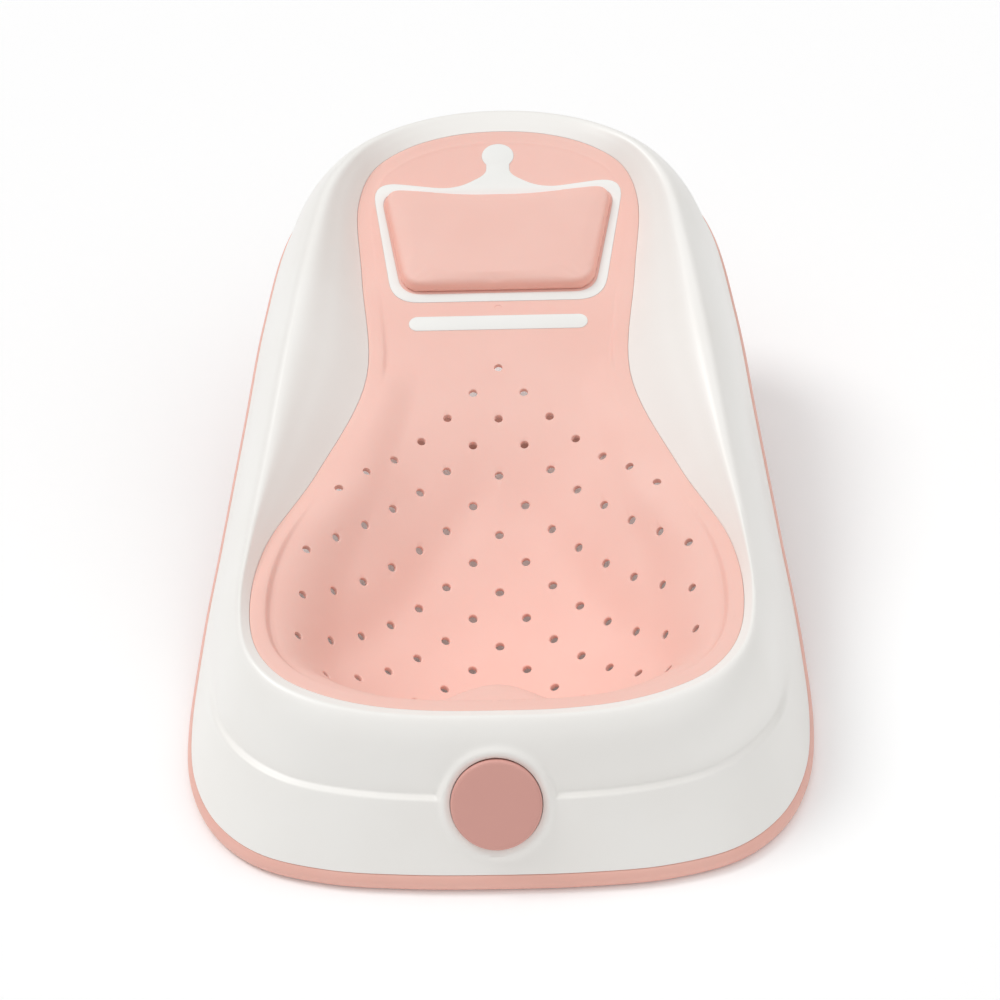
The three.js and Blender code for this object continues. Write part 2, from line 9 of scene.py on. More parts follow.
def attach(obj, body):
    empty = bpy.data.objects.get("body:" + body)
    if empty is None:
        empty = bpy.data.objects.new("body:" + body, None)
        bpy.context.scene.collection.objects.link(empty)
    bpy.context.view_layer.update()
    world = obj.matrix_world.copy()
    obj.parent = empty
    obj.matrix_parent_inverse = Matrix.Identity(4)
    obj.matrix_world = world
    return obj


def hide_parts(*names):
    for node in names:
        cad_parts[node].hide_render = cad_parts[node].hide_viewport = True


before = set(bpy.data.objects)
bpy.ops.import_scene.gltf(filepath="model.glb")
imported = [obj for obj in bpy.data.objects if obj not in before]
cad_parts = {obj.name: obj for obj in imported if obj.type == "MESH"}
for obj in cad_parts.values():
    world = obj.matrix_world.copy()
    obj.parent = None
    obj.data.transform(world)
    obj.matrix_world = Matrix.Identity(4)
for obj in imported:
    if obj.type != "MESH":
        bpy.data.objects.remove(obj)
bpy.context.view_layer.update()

MM = 0.001

# ---- driving dimensions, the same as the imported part's ---------------------------------------
LENGTH = 560.0
BASE = {"height": 9, "ground": 1, "slope": 0.36, "knee": 165, "reach": 40}
WALL = {"inset": 2.6, "thickness": 2.6, "ledge_step": 3.8, "ledge_fall": 1.2, "line_height": 0.2,
        "flange": 6.5, "flange_thickness": 2.4}
SEAT = {"thickness": 3.2, "border": 9, "step_width": 2.6, "step_depth": 1.6, "step_fade": (150, 235)}
BOWL = {"line_x": 28, "line_slope": 0.56, "line_at": 265, "ease": 1.2, "ease_fade": (200, 260),
        "dip": 2.2, "dip_inside": 14, "dip_width": 13, "dip_fade": (250, 300), "level_to": 300,
        "softness": 10, "soft_to": 250, "lip_from": 0.7, "lip_over": 0.3, "lip_eased": 0.55}
GAP = 0.35
SPINE = (95, 490)
DECK = {"slope": 0.384, "zero": -26.7, "from": 345}
HOLES = {"radius": 2.5, "lip": 0.45, "pitch_x": 15.4, "pitch_y": 16.9, "first": 345}
POMMEL = {"half_width": 39, "reach": 20, "fade": (100, 150)}
# The cushion's painted wall shade is full below one given height and fades out over the other.
CUSHION = {"clear": 0.9, "head_share": 0.8, "tighter": 9, "shade_from": 7.4, "shade_over": 2.4,
           "voxel": 1.6, "pressure": 3.0, "most_moved": 0.9, "held_below": 1.3}
BORDER = {"depth": 1.2, "proud": 0.3, "edge": 0.22, "ball_radius": 10.4, "ball_at": 506.7}
POCKET_CLEAR = {"side": 0.07, "floor": 0.08}
MARK = {"at": 388.6, "radius": 2.2, "depth": 0.22}
BAR = {"at": 377.7, "half_length": 55.5, "width": 11}
DISC = {"radius": 23.7, "thickness": 5.4, "tilt": 29, "at": 16.2, "height": 45.8,
        "recess": 1.6, "stem": 11, "stem_length": 9, "edge": 1.9}
COLLAR = {"radius": 27.6, "proud": 1.3, "roll": 2.1, "softness": 0.6, "reach": 60,
          "bead": 1.5, "bead_at": 27.3, "bead_width": 2.4, "bead_tilt": 0.3}
BEAM = {"at": 418, "half_length": 136, "width": 22, "thickness": 7, "tab": (119, 136), "tab_half": 9,
        "rib_half": 2, "rib_depth": 6.5}
HINGE = {"at": 412, "height": 90.4, "pin": 2.6, "hub": 7.6, "leg_x": 105, "leg_width": 13, "ear": 6,
         "ear_height": 12}
PIN = {"head": 1.4, "head_height": 2.2, "length": 28.6}
STAND = {"foot_at": 424, "foot_width": 30, "foot_height": 14, "leg_depth": 13, "pad_x": 92}
SCREW = {"head": 3.2, "head_height": 1.9, "seat": 2.4, "shank": 1.5, "clearance": 1.9, "thread": 0.95,
         "length": 17, "beam_length": 12.5, "inset": 11.5, "boss": 4, "boss_height": 7,
         "slot": 1.5, "slot_half": 0.3, "slot_depth": 0.95}
PAD = {"radius": 4.6, "stand_radius": 6.9, "thickness": 2.8, "inset": 9}
SCREW_ROWS = (1.5, 4.5, 8.5, 12.5)
PAD_ROWS = (2.5, 5.5)

# One row for each place along the half outline, from the foot end's middle to the head end's:
# base edge (x, distance), rim crest (x, distance, height), soft seat's edge (x, distance, height).
HALF_OUTLINE = [
    ((0, 0), (0, 43, 83), (0, 50, 81)),
    ((48, 1.2), (38, 44, 83), (36, 51, 81)),
    ((90, 6), (70, 49, 83.3), (66, 55.5, 81.3)),
    ((127, 19), (97, 59, 84), (92, 64.5, 82)),
    ((152, 43), (119, 75, 85), (113, 78.5, 82.6)),
    ((168, 78), (134, 99, 86.5), (128, 101, 83.6)),
    ((175, 125), (140.5, 138, 89.5), (135, 138, 84.8)),
    ((174.5, 188), (138, 190, 97), (131, 189, 86.6)),
    ((168, 254), (131.5, 256, 113), (106, 257, 90.5)),
    ((159.5, 339), (123.5, 338, 139), (80.5, 336, 106)),
    ((152, 415), (115, 414, 159), (86, 413, 131.9)),
    ((139, 485), (106, 470, 172), (90, 470, 153.8)),
    ((118, 523), (86, 507.5, 177.5), (81, 497.5, 164.3)),
    ((86, 547), (62, 528, 180), (60.5, 514, 170.7)),
    ((46, 557.5), (33, 541.5, 181.3), (32, 524, 174.5)),
    ((0, 560), (0, 545.5, 181.8), (0, 527, 175.7)),
]
# The wall's ledge round the foot (x, distance, height), and the share of its full step there.
LEDGE = [(0, 21, 45), (44, 22.5, 45), (82, 29, 44.8), (114, 41, 44.4),
         (138, 62, 43.8), (155, 92, 42.8), (164.5, 140, 41), (166.5, 194, 40)]
LEDGE_STEPS = [1, 1, 1, 1, 1, 0.9, 0.6, 0.25]
# Corners of the frame round the cushion and of its opening: x, distance, radius.
FRAME_CORNERS = [(66, 393.5, 17), (82, 488, 19), (28, 480, 14), (7.5, 492, 7)]
OPENING_CORNERS = [(60.5, 399.6, 13), (76, 479.5, 15), (20, 473.8, 10)]
# First and last row of drain holes in each column out from the middle.
HOLE_ROWS = [(0, 10), (1, 11), (2, 12), (3, 13), (4, 12), (5, 13), (6, 14), (9, 13)]


# ---- curves and surfaces ---------------------------------------------------------------------
def lift(distance):
    """Height of the base's underside: level under the seat, then rising to the head end."""
    past = np.asarray(distance, float) - BASE["knee"]
    reach, slope = BASE["reach"], BASE["slope"]
    bend = slope * (past + reach) ** 2 / (4 * reach)
    rise = np.where(past <= -reach, 0, np.where(past >= reach, slope * past, bend))
    return BASE["ground"] + rise


def gap_between(a, b):
    """The root of the distance, which spaces the spline's stretches."""
    return np.maximum(np.sum((b - a) ** 2, axis=-1, keepdims=True) ** 0.25, 1e-4)


def stretch(p0, p1, p2, p3, w):
    """The spline's points at shares w of the stretch from p1 to p2."""
    gap0, gap1, gap2 = gap_between(p0, p1), gap_between(p1, p2), gap_between(p2, p3)
    t1 = ((p1 - p0) / gap0 - (p2 - p0) / (gap0 + gap1) + (p2 - p1) / gap1) * gap1
    t2 = ((p2 - p1) / gap1 - (p3 - p1) / (gap1 + gap2) + (p3 - p2) / gap2) * gap1
    return (p1 + t1 * w + (3 * (p2 - p1) - 2 * t1 - t2) * w ** 2
            + (2 * (p1 - p2) + t1 + t2) * w ** 3)


def closed_curve(points, places):
    """Points of a closed spline; place 2.5 is halfway between the points 2 and 3."""
    points = np.array(points, float)
    i = np.floor(places).astype(int)
    around = (points[(i + k) % len(points)] for k in (-1, 0, 1, 2))
    return stretch(*around, (places - i)[:, None])


def open_curve(points, steps):
    """A spline through points, with steps places for each stretch, and its last point."""
    points = np.array(points, float)
    ends = [2 * points[0] - points[1], *points, 2 * points[-1] - points[-2]]
    w = np.linspace(0, 1, steps, endpoint=False)[:, None]
    made = [stretch(*around, w) for around in zip(ends, ends[1:], ends[2:], ends[3:])]
    return np.vstack([*made, points[-1:]])


def table(places):
    """A value that runs smoothly through a few (distance, value) places."""
    curve = open_curve(places, 12)

    def value_at(distance):
        return np.interp(distance, curve[:, 0], curve[:, 1])

    return value_at


def fade(value, start, end):
    """1 up to start, 0 from end on, and straight between them."""
    return np.clip((end - value) / (end - start), 0, 1)


def bow(start, bend, end, t):
    """A point of the curve from start to end that leans towards bend."""
    return (1 - t) ** 2 * start + 2 * t * (1 - t) * bend + t * t * end


def mirrored(half):
    """A half outline with its mirror image, without doubling the two points on the middle."""
    half = [tuple(p) for p in half]
    return half + [(-p[0], *p[1:]) for p in half[-2:0:-1]]


STATIONS = {"close_to": 0.8, "close_step": 0.025, "others": 115}


def stations():
    """Places round the outline, closer together at the foot end's middle."""
    last = len(HALF_OUTLINE) - 1
    close_to, close_step, others = STATIONS["close_to"], STATIONS["close_step"], STATIONS["others"]
    half = np.concatenate([np.arange(0, close_to, close_step), np.linspace(close_to, last, others)])
    return np.concatenate([half, 2 * last - half[-2:0:-1]])


PLACES = stations()


def along(places):
    """The outlines at places: base, crest, seat edge, ledge, inward direction, ledge share."""
    base = closed_curve(mirrored([(*b, 0) for b, _, _ in HALF_OUTLINE]), places)
    base[:, 2] = lift(base[:, 1])
    crest = closed_curve(mirrored([c for _, c, _ in HALF_OUTLINE]), places)
    seat = closed_curve(mirrored([s for _, _, s in HALF_OUTLINE]), places)
    up = WALL["line_height"]
    rest = [np.array((*b, lift(b[1]) + BASE["height"])) * (1 - up) + np.array(c) * up
            for b, c, _ in HALF_OUTLINE[len(LEDGE):]]
    ledge = closed_curve(mirrored([*LEDGE, *rest]), places)
    last = len(HALF_OUTLINE) - 1
    shares = LEDGE_STEPS + [0] * (last + 1 - len(LEDGE_STEPS))
    step = np.interp(last - abs(places - last), range(last + 1), shares)
    inward = seat - base
    inward[:, 2] = 0
    inward /= np.linalg.norm(inward, axis=1, keepdims=True)
    return {"base": base, "crest": crest, "seat": seat, "ledge": ledge, "step": step,
            "inward": inward}


LINES = along(PLACES)

middle_height = table([
    (50, 79), (60, 77), (80, 46), (100, 22.5), (120, 16), (142, 15.5), (176, 23), (210, 36.5),
    (244, 53.5), (294, 82.5), (345, DECK["zero"] + DECK["slope"] * 345),
])
curl = table([(50, 0.0046), (200, 0.0052), (245, 0.0058), (262, 0.0048), (294, 0.002), (345, 0)])


def half_width(distance):
    """Half the bowl's width inside its border."""
    half = slice(0, len(PLACES) // 2 + 1)
    reach = SEAT["border"] + SEAT["step_width"]
    edge = LINES["seat"][half] + LINES["inward"][half] * reach
    return np.maximum(np.interp(distance, edge[:, 1], edge[:, 0]), 1)


def side_rise(x, distance):
    """Rise of the bowl beside its middle: steepest at a line that runs outwards to the foot."""
    outside = np.abs(x) - BOWL["line_x"] - BOWL["line_slope"] * (BOWL["line_at"] - distance)
    eased = BOWL["ease"] * fade(distance, *BOWL["ease_fade"]) * np.maximum(outside, 0) ** 2
    valley = np.exp(-((outside + BOWL["dip_inside"]) / BOWL["dip_width"]) ** 2)
    dip = BOWL["dip"] * valley * fade(distance, *BOWL["dip_fade"])
    return curl(distance) * (x * x - eased) - dip


def seat_height(x, distance, edge_height):
    """Height of the seat's top beside an edge of that height."""
    beside = np.maximum(0, 1 - (x / POMMEL["half_width"]) ** 2)
    pushed = POMMEL["reach"] * beside ** 2 * fade(distance, *POMMEL["fade"])
    bowl = middle_height(distance - pushed) + side_rise(x, distance)
    stepped = fade(distance, *SEAT["step_fade"])
    shoulder = edge_height - SEAT["step_depth"] * stepped
    softness = BOWL["softness"] * fade(distance, BOWL["soft_to"], DECK["from"])
    lower = (bowl + shoulder - np.hypot(bowl - shoulder, softness)) / 2
    outer = np.clip((np.abs(x) / half_width(distance) - BOWL["lip_from"]) / BOWL["lip_over"], 0, 1)
    lift_out = outer ** 2 * (3 - 2 * outer) * (1 - BOWL["lip_eased"] * stepped)
    blended = lower + (shoulder - lower) * lift_out
    deck = DECK["zero"] + DECK["slope"] * distance
    return np.where(distance >= DECK["from"], deck, blended)


def band_height(edge, at):
    """Height of the border band: level round the bowl, along the deck's slope round the head."""
    share = 1 - fade(edge[..., 1], BOWL["level_to"], DECK["from"])
    return edge[..., 2] + share * DECK["slope"] * (at[..., 1] - edge[..., 1])


# ---- frames of the tilted groups ---------------------------------------------------------------
def placed(distance, height, turn):
    """A frame at the middle, turned about X by an angle in radians."""
    at = Matrix.Translation((0, (distance - LENGTH / 2) * MM, height * MM))
    return at @ Matrix.Rotation(turn, 4, "X")


DISC_FRAME = (placed(DISC["at"], DISC["height"], math.radians(90 - DISC["tilt"]))
              @ Matrix.Translation((0, 0, -DISC["thickness"] * MM)))
DECK_FRAME = placed(0, DECK["zero"], math.atan(DECK["slope"]))
BEAM_FRAME = placed(BEAM["at"], lift(BEAM["at"]) + BASE["height"] + GAP, math.atan(BASE["slope"]))
HINGE_FRAME = placed(HINGE["at"], HINGE["height"], 0)
ROW_FRAME = placed(0, 0, 0)
SIDES = (1, -1)


def along_deck(distance):
    """A distance from the foot end as one measured along the sloping deck."""
    return distance / math.cos(math.atan(DECK["slope"]))


# ---- mesh making -------------------------------------------------------------------------------
def add(name, data):
    """A new object in the scene that holds a mesh, a curve, a camera or a light."""
    made = bpy.data.objects.new(name, data)
    bpy.context.scene.collection.objects.link(made)
    return made


def piece_of(name, points, faces, matrix=ROW_FRAME):
    """A mesh piece from points in millimetres of a frame, merged, with its faces outwards."""
    mesh = bpy.data.meshes.new(name)
    mesh.from_pydata((np.asarray(points, float) * MM).tolist(), [], faces)
    mesh.transform(matrix)
    piece = add(name, mesh)
    tidy(piece)
    return piece


def tidy(piece, merge=1e-6):
    """Merges doubled points, drops empty faces and turns the faces outwards."""
    work = bmesh.new()
    work.from_mesh(piece.data)
    bmesh.ops.remove_doubles(work, verts=work.verts, dist=merge)
    bmesh.ops.dissolve_degenerate(work, edges=work.edges, dist=merge / 10)
    bmesh.ops.recalc_face_normals(work, faces=work.faces)
    work.to_mesh(piece.data)
    work.free()


def made_mesh(piece):
    """The mesh that a curve or a piece's modifiers make."""
    bpy.context.view_layer.update()
    graph = bpy.context.evaluated_depsgraph_get()
    return bpy.data.meshes.new_from_object(piece.evaluated_get(graph))


def bake(piece):
    """Puts what the modifiers make into the piece's own mesh."""
    mesh = made_mesh(piece)
    piece.modifiers.clear()
    piece.data = mesh
    return piece


def join(pieces, name):
    """Several separate solids as one piece."""
    work = bmesh.new()
    for piece in pieces:
        work.from_mesh(piece.data)
        bpy.data.objects.remove(piece)
    mesh = bpy.data.meshes.new(name)
    work.to_mesh(mesh)
    work.free()
    return add(name, mesh)


def combine(target, tools, operation):
    """Joins tools to a solid or cuts them from it."""
    tool = join(tools, "tool")
    step = target.modifiers.new(operation, "BOOLEAN")
    step.object = tool
    step.operation = operation
    step.solver = "EXACT"
    bake(target)
    bpy.data.objects.remove(tool)
    return target


def ring_loft(name, rings):
    """A closed tube from rings of points that also closes on itself."""
    count, size, _ = rings.shape
    index = np.arange(count * size).reshape(count, size)
    nexts = np.roll(index, -1, axis=0)
    faces = np.stack([index, nexts, np.roll(nexts, -1, axis=1), np.roll(index, -1, axis=1)], -1)
    return piece_of(name, rings.reshape(-1, 3), faces.reshape(-1, 4).tolist())


def turned(name, places, sides, matrix=ROW_FRAME, at=(0, 0, 0)):
    """A turned solid round the Z axis from (radius, height) places that start and end on it."""
    angles = np.arange(sides) * 2 * math.pi / sides
    points, rings = [], []
    for radius, height in places:
        if radius == 0:
            points.append((0, 0, height))
            rings.append([len(points) - 1] * sides)
        else:
            rings.append(list(range(len(points), len(points) + sides)))
            points += [(radius * math.cos(a), radius * math.sin(a), height) for a in angles]
    faces = []
    for low, high in zip(rings, rings[1:]):
        for i in range(sides):
            j = (i + 1) % sides
            face = list(dict.fromkeys([low[i], low[j], high[j], high[i]]))
            if len(face) > 2:
                faces.append(face)
    return piece_of(name, np.array(points) + np.array(at), faces, matrix)


def cylinder(name, radius, low, high, sides, matrix=ROW_FRAME, at=(0, 0, 0)):
    return turned(name, [(0, low), (radius, low), (radius, high), (0, high)], sides, matrix, at)


def rounding(centre, radius, start, end, steps=5):
    """Points of an arc between two angles in degrees."""
    angles = np.radians(np.linspace(start, end, steps))
    return [(centre[0] + radius * math.cos(a), centre[1] + radius * math.sin(a)) for a in angles]


def rounded_path(corners, steps=9):
    """A closed path through corners (x, y, radius), each rounded to its radius."""
    made = []
    for i, (x, y, radius) in enumerate(corners):
        here = np.array((x, y), float)
        before = np.array(corners[i - 1][:2], float) - here
        after = np.array(corners[(i + 1) % len(corners)][:2], float) - here
        reach = [min(radius, np.linalg.norm(v) / 2.01) / np.linalg.norm(v) for v in (before, after)]
        enter, leave = here + before * reach[0], here + after * reach[1]
        if radius <= 1:
            made.append(here)
            continue
        made += [bow(enter, here, leave, t) for t in np.linspace(0, 1, steps)]
    return np.array(made)


def box_path(low, high, half, radius):
    """A rounded rectangle from low to high across and from -half to half along."""
    return rounded_path([(low, -half, radius), (high, -half, radius), (high, half, radius),
                         (low, half, radius)])


def both_halves(half):
    """Corners (x, y, radius) of a half outline followed by their mirror image."""
    return [*half, *[(-x, y, r) for x, y, r in reversed(half)]]


def plate(name, outlines, low, high, bevel, matrix, at=(0, 0, 0)):
    """A flat plate of closed outlines, the first one outside, with its edges rounded."""
    line = bpy.data.curves.new(name, "CURVE")
    line.dimensions = "2D"
    line.fill_mode = "BOTH"
    line.extrude = (high - low) / 2 - bevel
    line.bevel_depth = bevel
    line.bevel_resolution = 2
    line.offset = -bevel
    for outline in outlines:
        spline = line.splines.new("POLY")
        spline.points.add(len(outline) - 1)
        spline.points.foreach_set("co", np.hstack([outline, np.zeros((len(outline), 1)),
                                                   np.ones((len(outline), 1))]).ravel())
        spline.use_cyclic_u = True
    drawn = add(name, line)
    mesh = made_mesh(drawn)
    bpy.data.objects.remove(drawn)
    size = Matrix.Scale(MM, 4)
    lifted = Matrix.Translation(Vector((at[0], at[1], at[2] + (low + high) / 2)))
    mesh.transform(matrix @ size @ lifted)
    piece = add(name, mesh)
    tidy(piece, 2e-6)
    return piece


def dress(piece, finish, replaced, body="shell", sharp=32):
    """Gives a piece smooth shading, its material, the nodes it stands for and its body."""
    piece.data.shade_smooth()
    piece.data.set_sharp_from_angle(angle=math.radians(sharp))
    piece.data.materials.clear()
    piece.data.materials.append(finish)
    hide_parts(*replaced)
    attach(piece, body)


# ---- node trees ----------------------------------------------------------------------------------
class Value:
    """A socket that stands in sums, so that an expression adds its Math nodes."""

    def __init__(self, tree, socket):
        self.tree = tree
        self.socket = socket

    def maths(self, operation, *values):
        return self.tree.node("ShaderNodeMath", {"operation": operation}, dict(enumerate(values)))

    def __add__(self, other):
        return self.maths("ADD", self, other)

    def __sub__(self, other):
        return self.maths("SUBTRACT", self, other)

    def __rsub__(self, other):
        return self.maths("SUBTRACT", other, self)

    def __mul__(self, other):
        return self.maths("MULTIPLY", self, other)

    __radd__ = __add__
    __rmul__ = __mul__


class Tree:
    """A node tree that is filled by one call for each node."""

    def __init__(self, tree):
        self.tree = tree

    def node(self, kind, settings=None, inputs=None, output=0):
        """Adds a node, sets it, then fills its sockets with values or links."""
        made = self.tree.nodes.new(kind)
        for key, value in (settings or {}).items():
            if key == "stops":
                ramp_stops(made.color_ramp, value)
            else:
                setattr(made, key, value)
        for key, value in (inputs or {}).items():
            socket = made.inputs[key]
            if isinstance(value, Value):
                self.tree.links.new(value.socket, socket)
            else:
                socket.default_value = value
        if output is None:
            return made
        return Value(self, made.outputs[output])

    def link(self, value, node, key):
        self.tree.links.new(value.socket, node.inputs[key])


def ramp_stops(ramp, stops):
    """Sets the ramp's two stops (place, grey)."""
    for element, (place, shade) in zip(ramp.elements, stops):
        element.position = place
        element.color = (shade, shade, shade, 1)


# ---- materials -----------------------------------------------------------------------------------
def linear(colour):
    """A colour on the 0 to 255 screen scale as the shader's linear one."""
    shares = [c / 255 for c in colour]
    return tuple(c / 12.92 if c <= 0.04045 else ((c + 0.055) / 1.055) ** 2.4 for c in shares)


def blend(tree, share, first, second):
    """Two colours mixed by a share that may vary."""
    return tree.node("ShaderNodeMix", {"data_type": "RGBA"}, {0: share, 6: first, 7: second}, 2)


def noise(tree, where, scale, detail=2, roughness=0.5):
    inputs = {"Vector": where, "Scale": scale, "Detail": detail, "Roughness": roughness}
    return tree.node("ShaderNodeTexNoise", None, inputs)


def new_material(name, uniform):
    """A material, its tree and its shader, whose own sockets take the uniform values."""
    material = bpy.data.materials.new(name)
    material.use_nodes = True
    shader = material.node_tree.nodes["Principled BSDF"]
    for key, value in uniform.items():
        shader.inputs[key].default_value = value
    return material, Tree(material.node_tree), shader


# The moulded finish: scales of its tone changes and rubs, and how much of each it shows.
FINISH = {"tone_scale": 14, "tone": 0.55, "speck": 0.1, "rub_scale": 46, "rub_stretch": 0.22,
          "tone_rough": 0.09, "grain_rough": 0.12, "rub_rough": 0.05, "middle_rough": 0.045,
          "bump": 0.55, "tone_bump": 0.4}


def moulded(name, colour, shade, roughness, grain, uniform, painted_wall_shade=None):
    """A moulded plastic or rubber: broad tone changes, fine surface grain and a few faint rubs.

    shade is the colour of its darker tone, grain is (bump scale, bump height in mm), uniform
    holds values of the shader's own sockets, and the last argument, when given, is a painted
    shade colour for the cushion's lower walls, for their shadow and warm bounce light."""
    material, tree, shader = new_material(name, uniform)
    where = tree.node("ShaderNodeTexCoord", output="Object")
    broad = noise(tree, where, FINISH["tone_scale"], 3)
    tone = tree.node("ShaderNodeValToRGB", {"stops": [(0.34, 0), (0.7, 1)]}, {"Fac": broad})
    fine = noise(tree, where, grain[0], 2, 0.6)
    rubs = noise(tree, stretched(tree, where), FINISH["rub_scale"], 4)
    worn = tree.node("ShaderNodeValToRGB", {"stops": [(0.62, 0), (0.72, 1)]}, {"Fac": rubs})
    share = tone * FINISH["tone"] + (fine - 0.5) * FINISH["speck"]
    mixed = blend(tree, share, (*linear(colour), 1), (*linear(shade), 1))
    # The cushion's lower walls get a painted shade colour, darker and warmer, for their shadow and bounce
    # light.
    if painted_wall_shade:
        mixed = blend(tree, wall_shade_share(tree, where), mixed, (*linear(painted_wall_shade), 1))
    tree.link(mixed, shader, "Base Color")
    varied = (broad * FINISH["tone_rough"] + (fine - 0.5) * FINISH["grain_rough"]
              + worn * FINISH["rub_rough"])
    tree.link(varied + (roughness - FINISH["middle_rough"]), shader, "Roughness")
    relief = fine + broad * FINISH["tone_bump"]
    bump = tree.node("ShaderNodeBump", None,
                     {"Strength": FINISH["bump"], "Distance": grain[1] * MM, "Height": relief})
    tree.link(bump, shader, "Normal")
    return material


def wall_shade_share(tree, where):
    """Share of the painted shade on the cushion's sides: none on its top, full on its lower wall."""
    turn = math.atan(DECK["slope"])
    along_y = tree.node("ShaderNodeSeparateXYZ", None, {"Vector": where}, "Y")
    up = tree.node("ShaderNodeSeparateXYZ", None, {"Vector": where}, "Z")
    start = (DECK["zero"] * math.cos(turn) + LENGTH / 2 * math.sin(turn)) * MM
    height = up * math.cos(turn) - along_y * math.sin(turn) - start
    share = (CUSHION["shade_from"] * MM - height) * (1 / (CUSHION["shade_over"] * MM))
    return share.maths("MINIMUM", share.maths("MAXIMUM", share, 0.0), 1.0)


def stretched(tree, where):
    """Coordinates drawn out along the length, for rubs that run one way."""
    scale = (1, FINISH["rub_stretch"], 1)
    return tree.node("ShaderNodeMapping", None, {"Vector": where, "Scale": scale})


def plated(name, colour):
    """Bright plated steel with fine turning lines."""
    material, tree, shader = new_material(name, {"Metallic": 1.0})
    where = tree.node("ShaderNodeTexCoord", output="Object")
    lines = noise(tree, where, 900, 3)
    cloud = noise(tree, where, 120, 2)
    dull = tuple(c * 0.72 for c in linear(colour))
    tree.link(blend(tree, cloud, (*linear(colour), 1), (*dull, 1)), shader, "Base Color")
    tree.link(lines * 0.18 + cloud * 0.12 + 0.12, shader, "Roughness")
    bump = tree.node("ShaderNodeBump", None, {"Strength": 0.3, "Distance": 0.05 * MM, "Height": lines})
    tree.link(bump, shader, "Normal")
    return material


SOFT_SKIN = {"Subsurface Weight": 0.12, "Subsurface Radius": (1.0, 0.45, 0.35),
             "Subsurface Scale": 0.004, "Specular IOR Level": 0.38}
WHITE = moulded("white_shell_plastic", (251, 249, 245), (246, 243, 238), 0.36, (2600, 0.03),
                {"Coat Weight": 0.12, "Coat Roughness": 0.3})
TRIM = moulded("white_inlay", (247, 247, 244), (241, 241, 237), 0.42, (2600, 0.02),
               {"Specular IOR Level": 0.42})
SOFT = moulded("soft_seat_elastomer", (251, 204, 192), (246, 195, 182), 0.58, (1900, 0.05), SOFT_SKIN)
# The cushion's last colour is painted shade on its lower walls, for their shadow and warm bounce light.
PADDING = moulded("head_cushion_skin", (251, 204, 192), (245, 194, 181), 0.6, (1500, 0.06),
                  {**SOFT_SKIN, "Sheen Weight": 0.1, "Sheen Roughness": 0.5}, (250, 189, 174))
RIM = moulded("base_rim_plastic", (245, 191, 177), (238, 181, 167), 0.44, (2300, 0.03),
              {"Subsurface Weight": 0.05, "Subsurface Radius": (1.0, 0.4, 0.3),
               "Subsurface Scale": 0.003})
ROSE = moulded("disc_rose_plastic", (224, 167, 156), (217, 160, 150), 0.48, (2300, 0.03),
               {"Specular IOR Level": 0.4})
RUBBER = moulded("pad_rubber", (176, 140, 134), (160, 124, 118), 0.82, (1300, 0.08),
                 {"Specular IOR Level": 0.25})
STEEL = plated("plated_steel", (208, 210, 214))


# ---- repeated pieces: geometry node trees ----------------------------------------------------
def geometry_tree(name, sizes):
    """An empty geometry tree with inputs (name, kind, value), and those inputs by name."""
    group = bpy.data.node_groups.new(name, "GeometryNodeTree")
    for label, kind, value in [("Geometry", "Geometry", None), *sizes]:
        socket = group.interface.new_socket(label, in_out="INPUT", socket_type="NodeSocket" + kind)
        if value is not None:
            socket.default_value = value
    group.interface.new_socket("Geometry", in_out="OUTPUT", socket_type="NodeSocketGeometry")
    tree = Tree(group)
    start = tree.node("NodeGroupInput", output=None)
    return tree, {socket.name: Value(tree, socket) for socket in start.outputs if socket.name}


def shape_of(tree, item):
    return tree.node("GeometryNodeObjectInfo", None, {"Object": item}, "Geometry")


def spread_over(tree, points, example, size):
    """The example object on each point, turned as the point's own turn says."""
    turn = tree.node("GeometryNodeInputNamedAttribute", {"data_type": "FLOAT_VECTOR"},
                     {"Name": "turn"})
    inputs = {"Points": points, "Instance": shape_of(tree, example), "Rotation": turn,
              "Scale": size}
    spread = tree.node("GeometryNodeInstanceOnPoints", None, inputs)
    return tree.node("GeometryNodeRealizeInstances", None, {"Geometry": spread})


def finish_tree(tree, geometry, material):
    done = tree.node("GeometryNodeSetMaterial", None, {"Geometry": geometry, "Material": material})
    out = tree.node("NodeGroupOutput", output=None)
    tree.link(done, out, 0)
    return tree.tree


def fastener_tree():
    """Copies of one small piece on the points of a mesh."""
    tree, given = geometry_tree("pieces on places", [
        ("Piece", "Object", None), ("Scale", "Float", 1.0), ("Material", "Material", None)])
    spread = spread_over(tree, given["Geometry"], given["Piece"], given["Scale"])
    return finish_tree(tree, spread, given["Material"])


def perforation_tree():
    """Cuts one tool from a sheet at each point of another mesh, and the inlays' pockets."""
    tree, given = geometry_tree("drain holes", [
        ("Places", "Object", None), ("Tool", "Object", None), ("Inlays", "Object", None),
        ("Scale", "Float", 1.0), ("Material", "Material", None)])
    tools = spread_over(tree, shape_of(tree, given["Places"]), given["Tool"], given["Scale"])
    both = tree.node("GeometryNodeJoinGeometry", None, {0: tools}, None)
    tree.link(shape_of(tree, given["Inlays"]), both, 0)
    cut = tree.node("GeometryNodeMeshBoolean", {"operation": "DIFFERENCE", "solver": "EXACT"},
                    {0: given["Geometry"], 1: Value(tree, both.outputs[0])})
    return finish_tree(tree, cut, given["Material"])


def run_tree(piece, group, values):
    """Runs a tree on a piece with its inputs set by name, and keeps the mesh it makes."""
    step = piece.modifiers.new(group.name, "NODES")
    step.node_group = group
    for item in group.interface.items_tree:
        if item.in_out == "INPUT" and item.name in values:
            step[item.identifier] = values[item.name]
    return bake(piece)


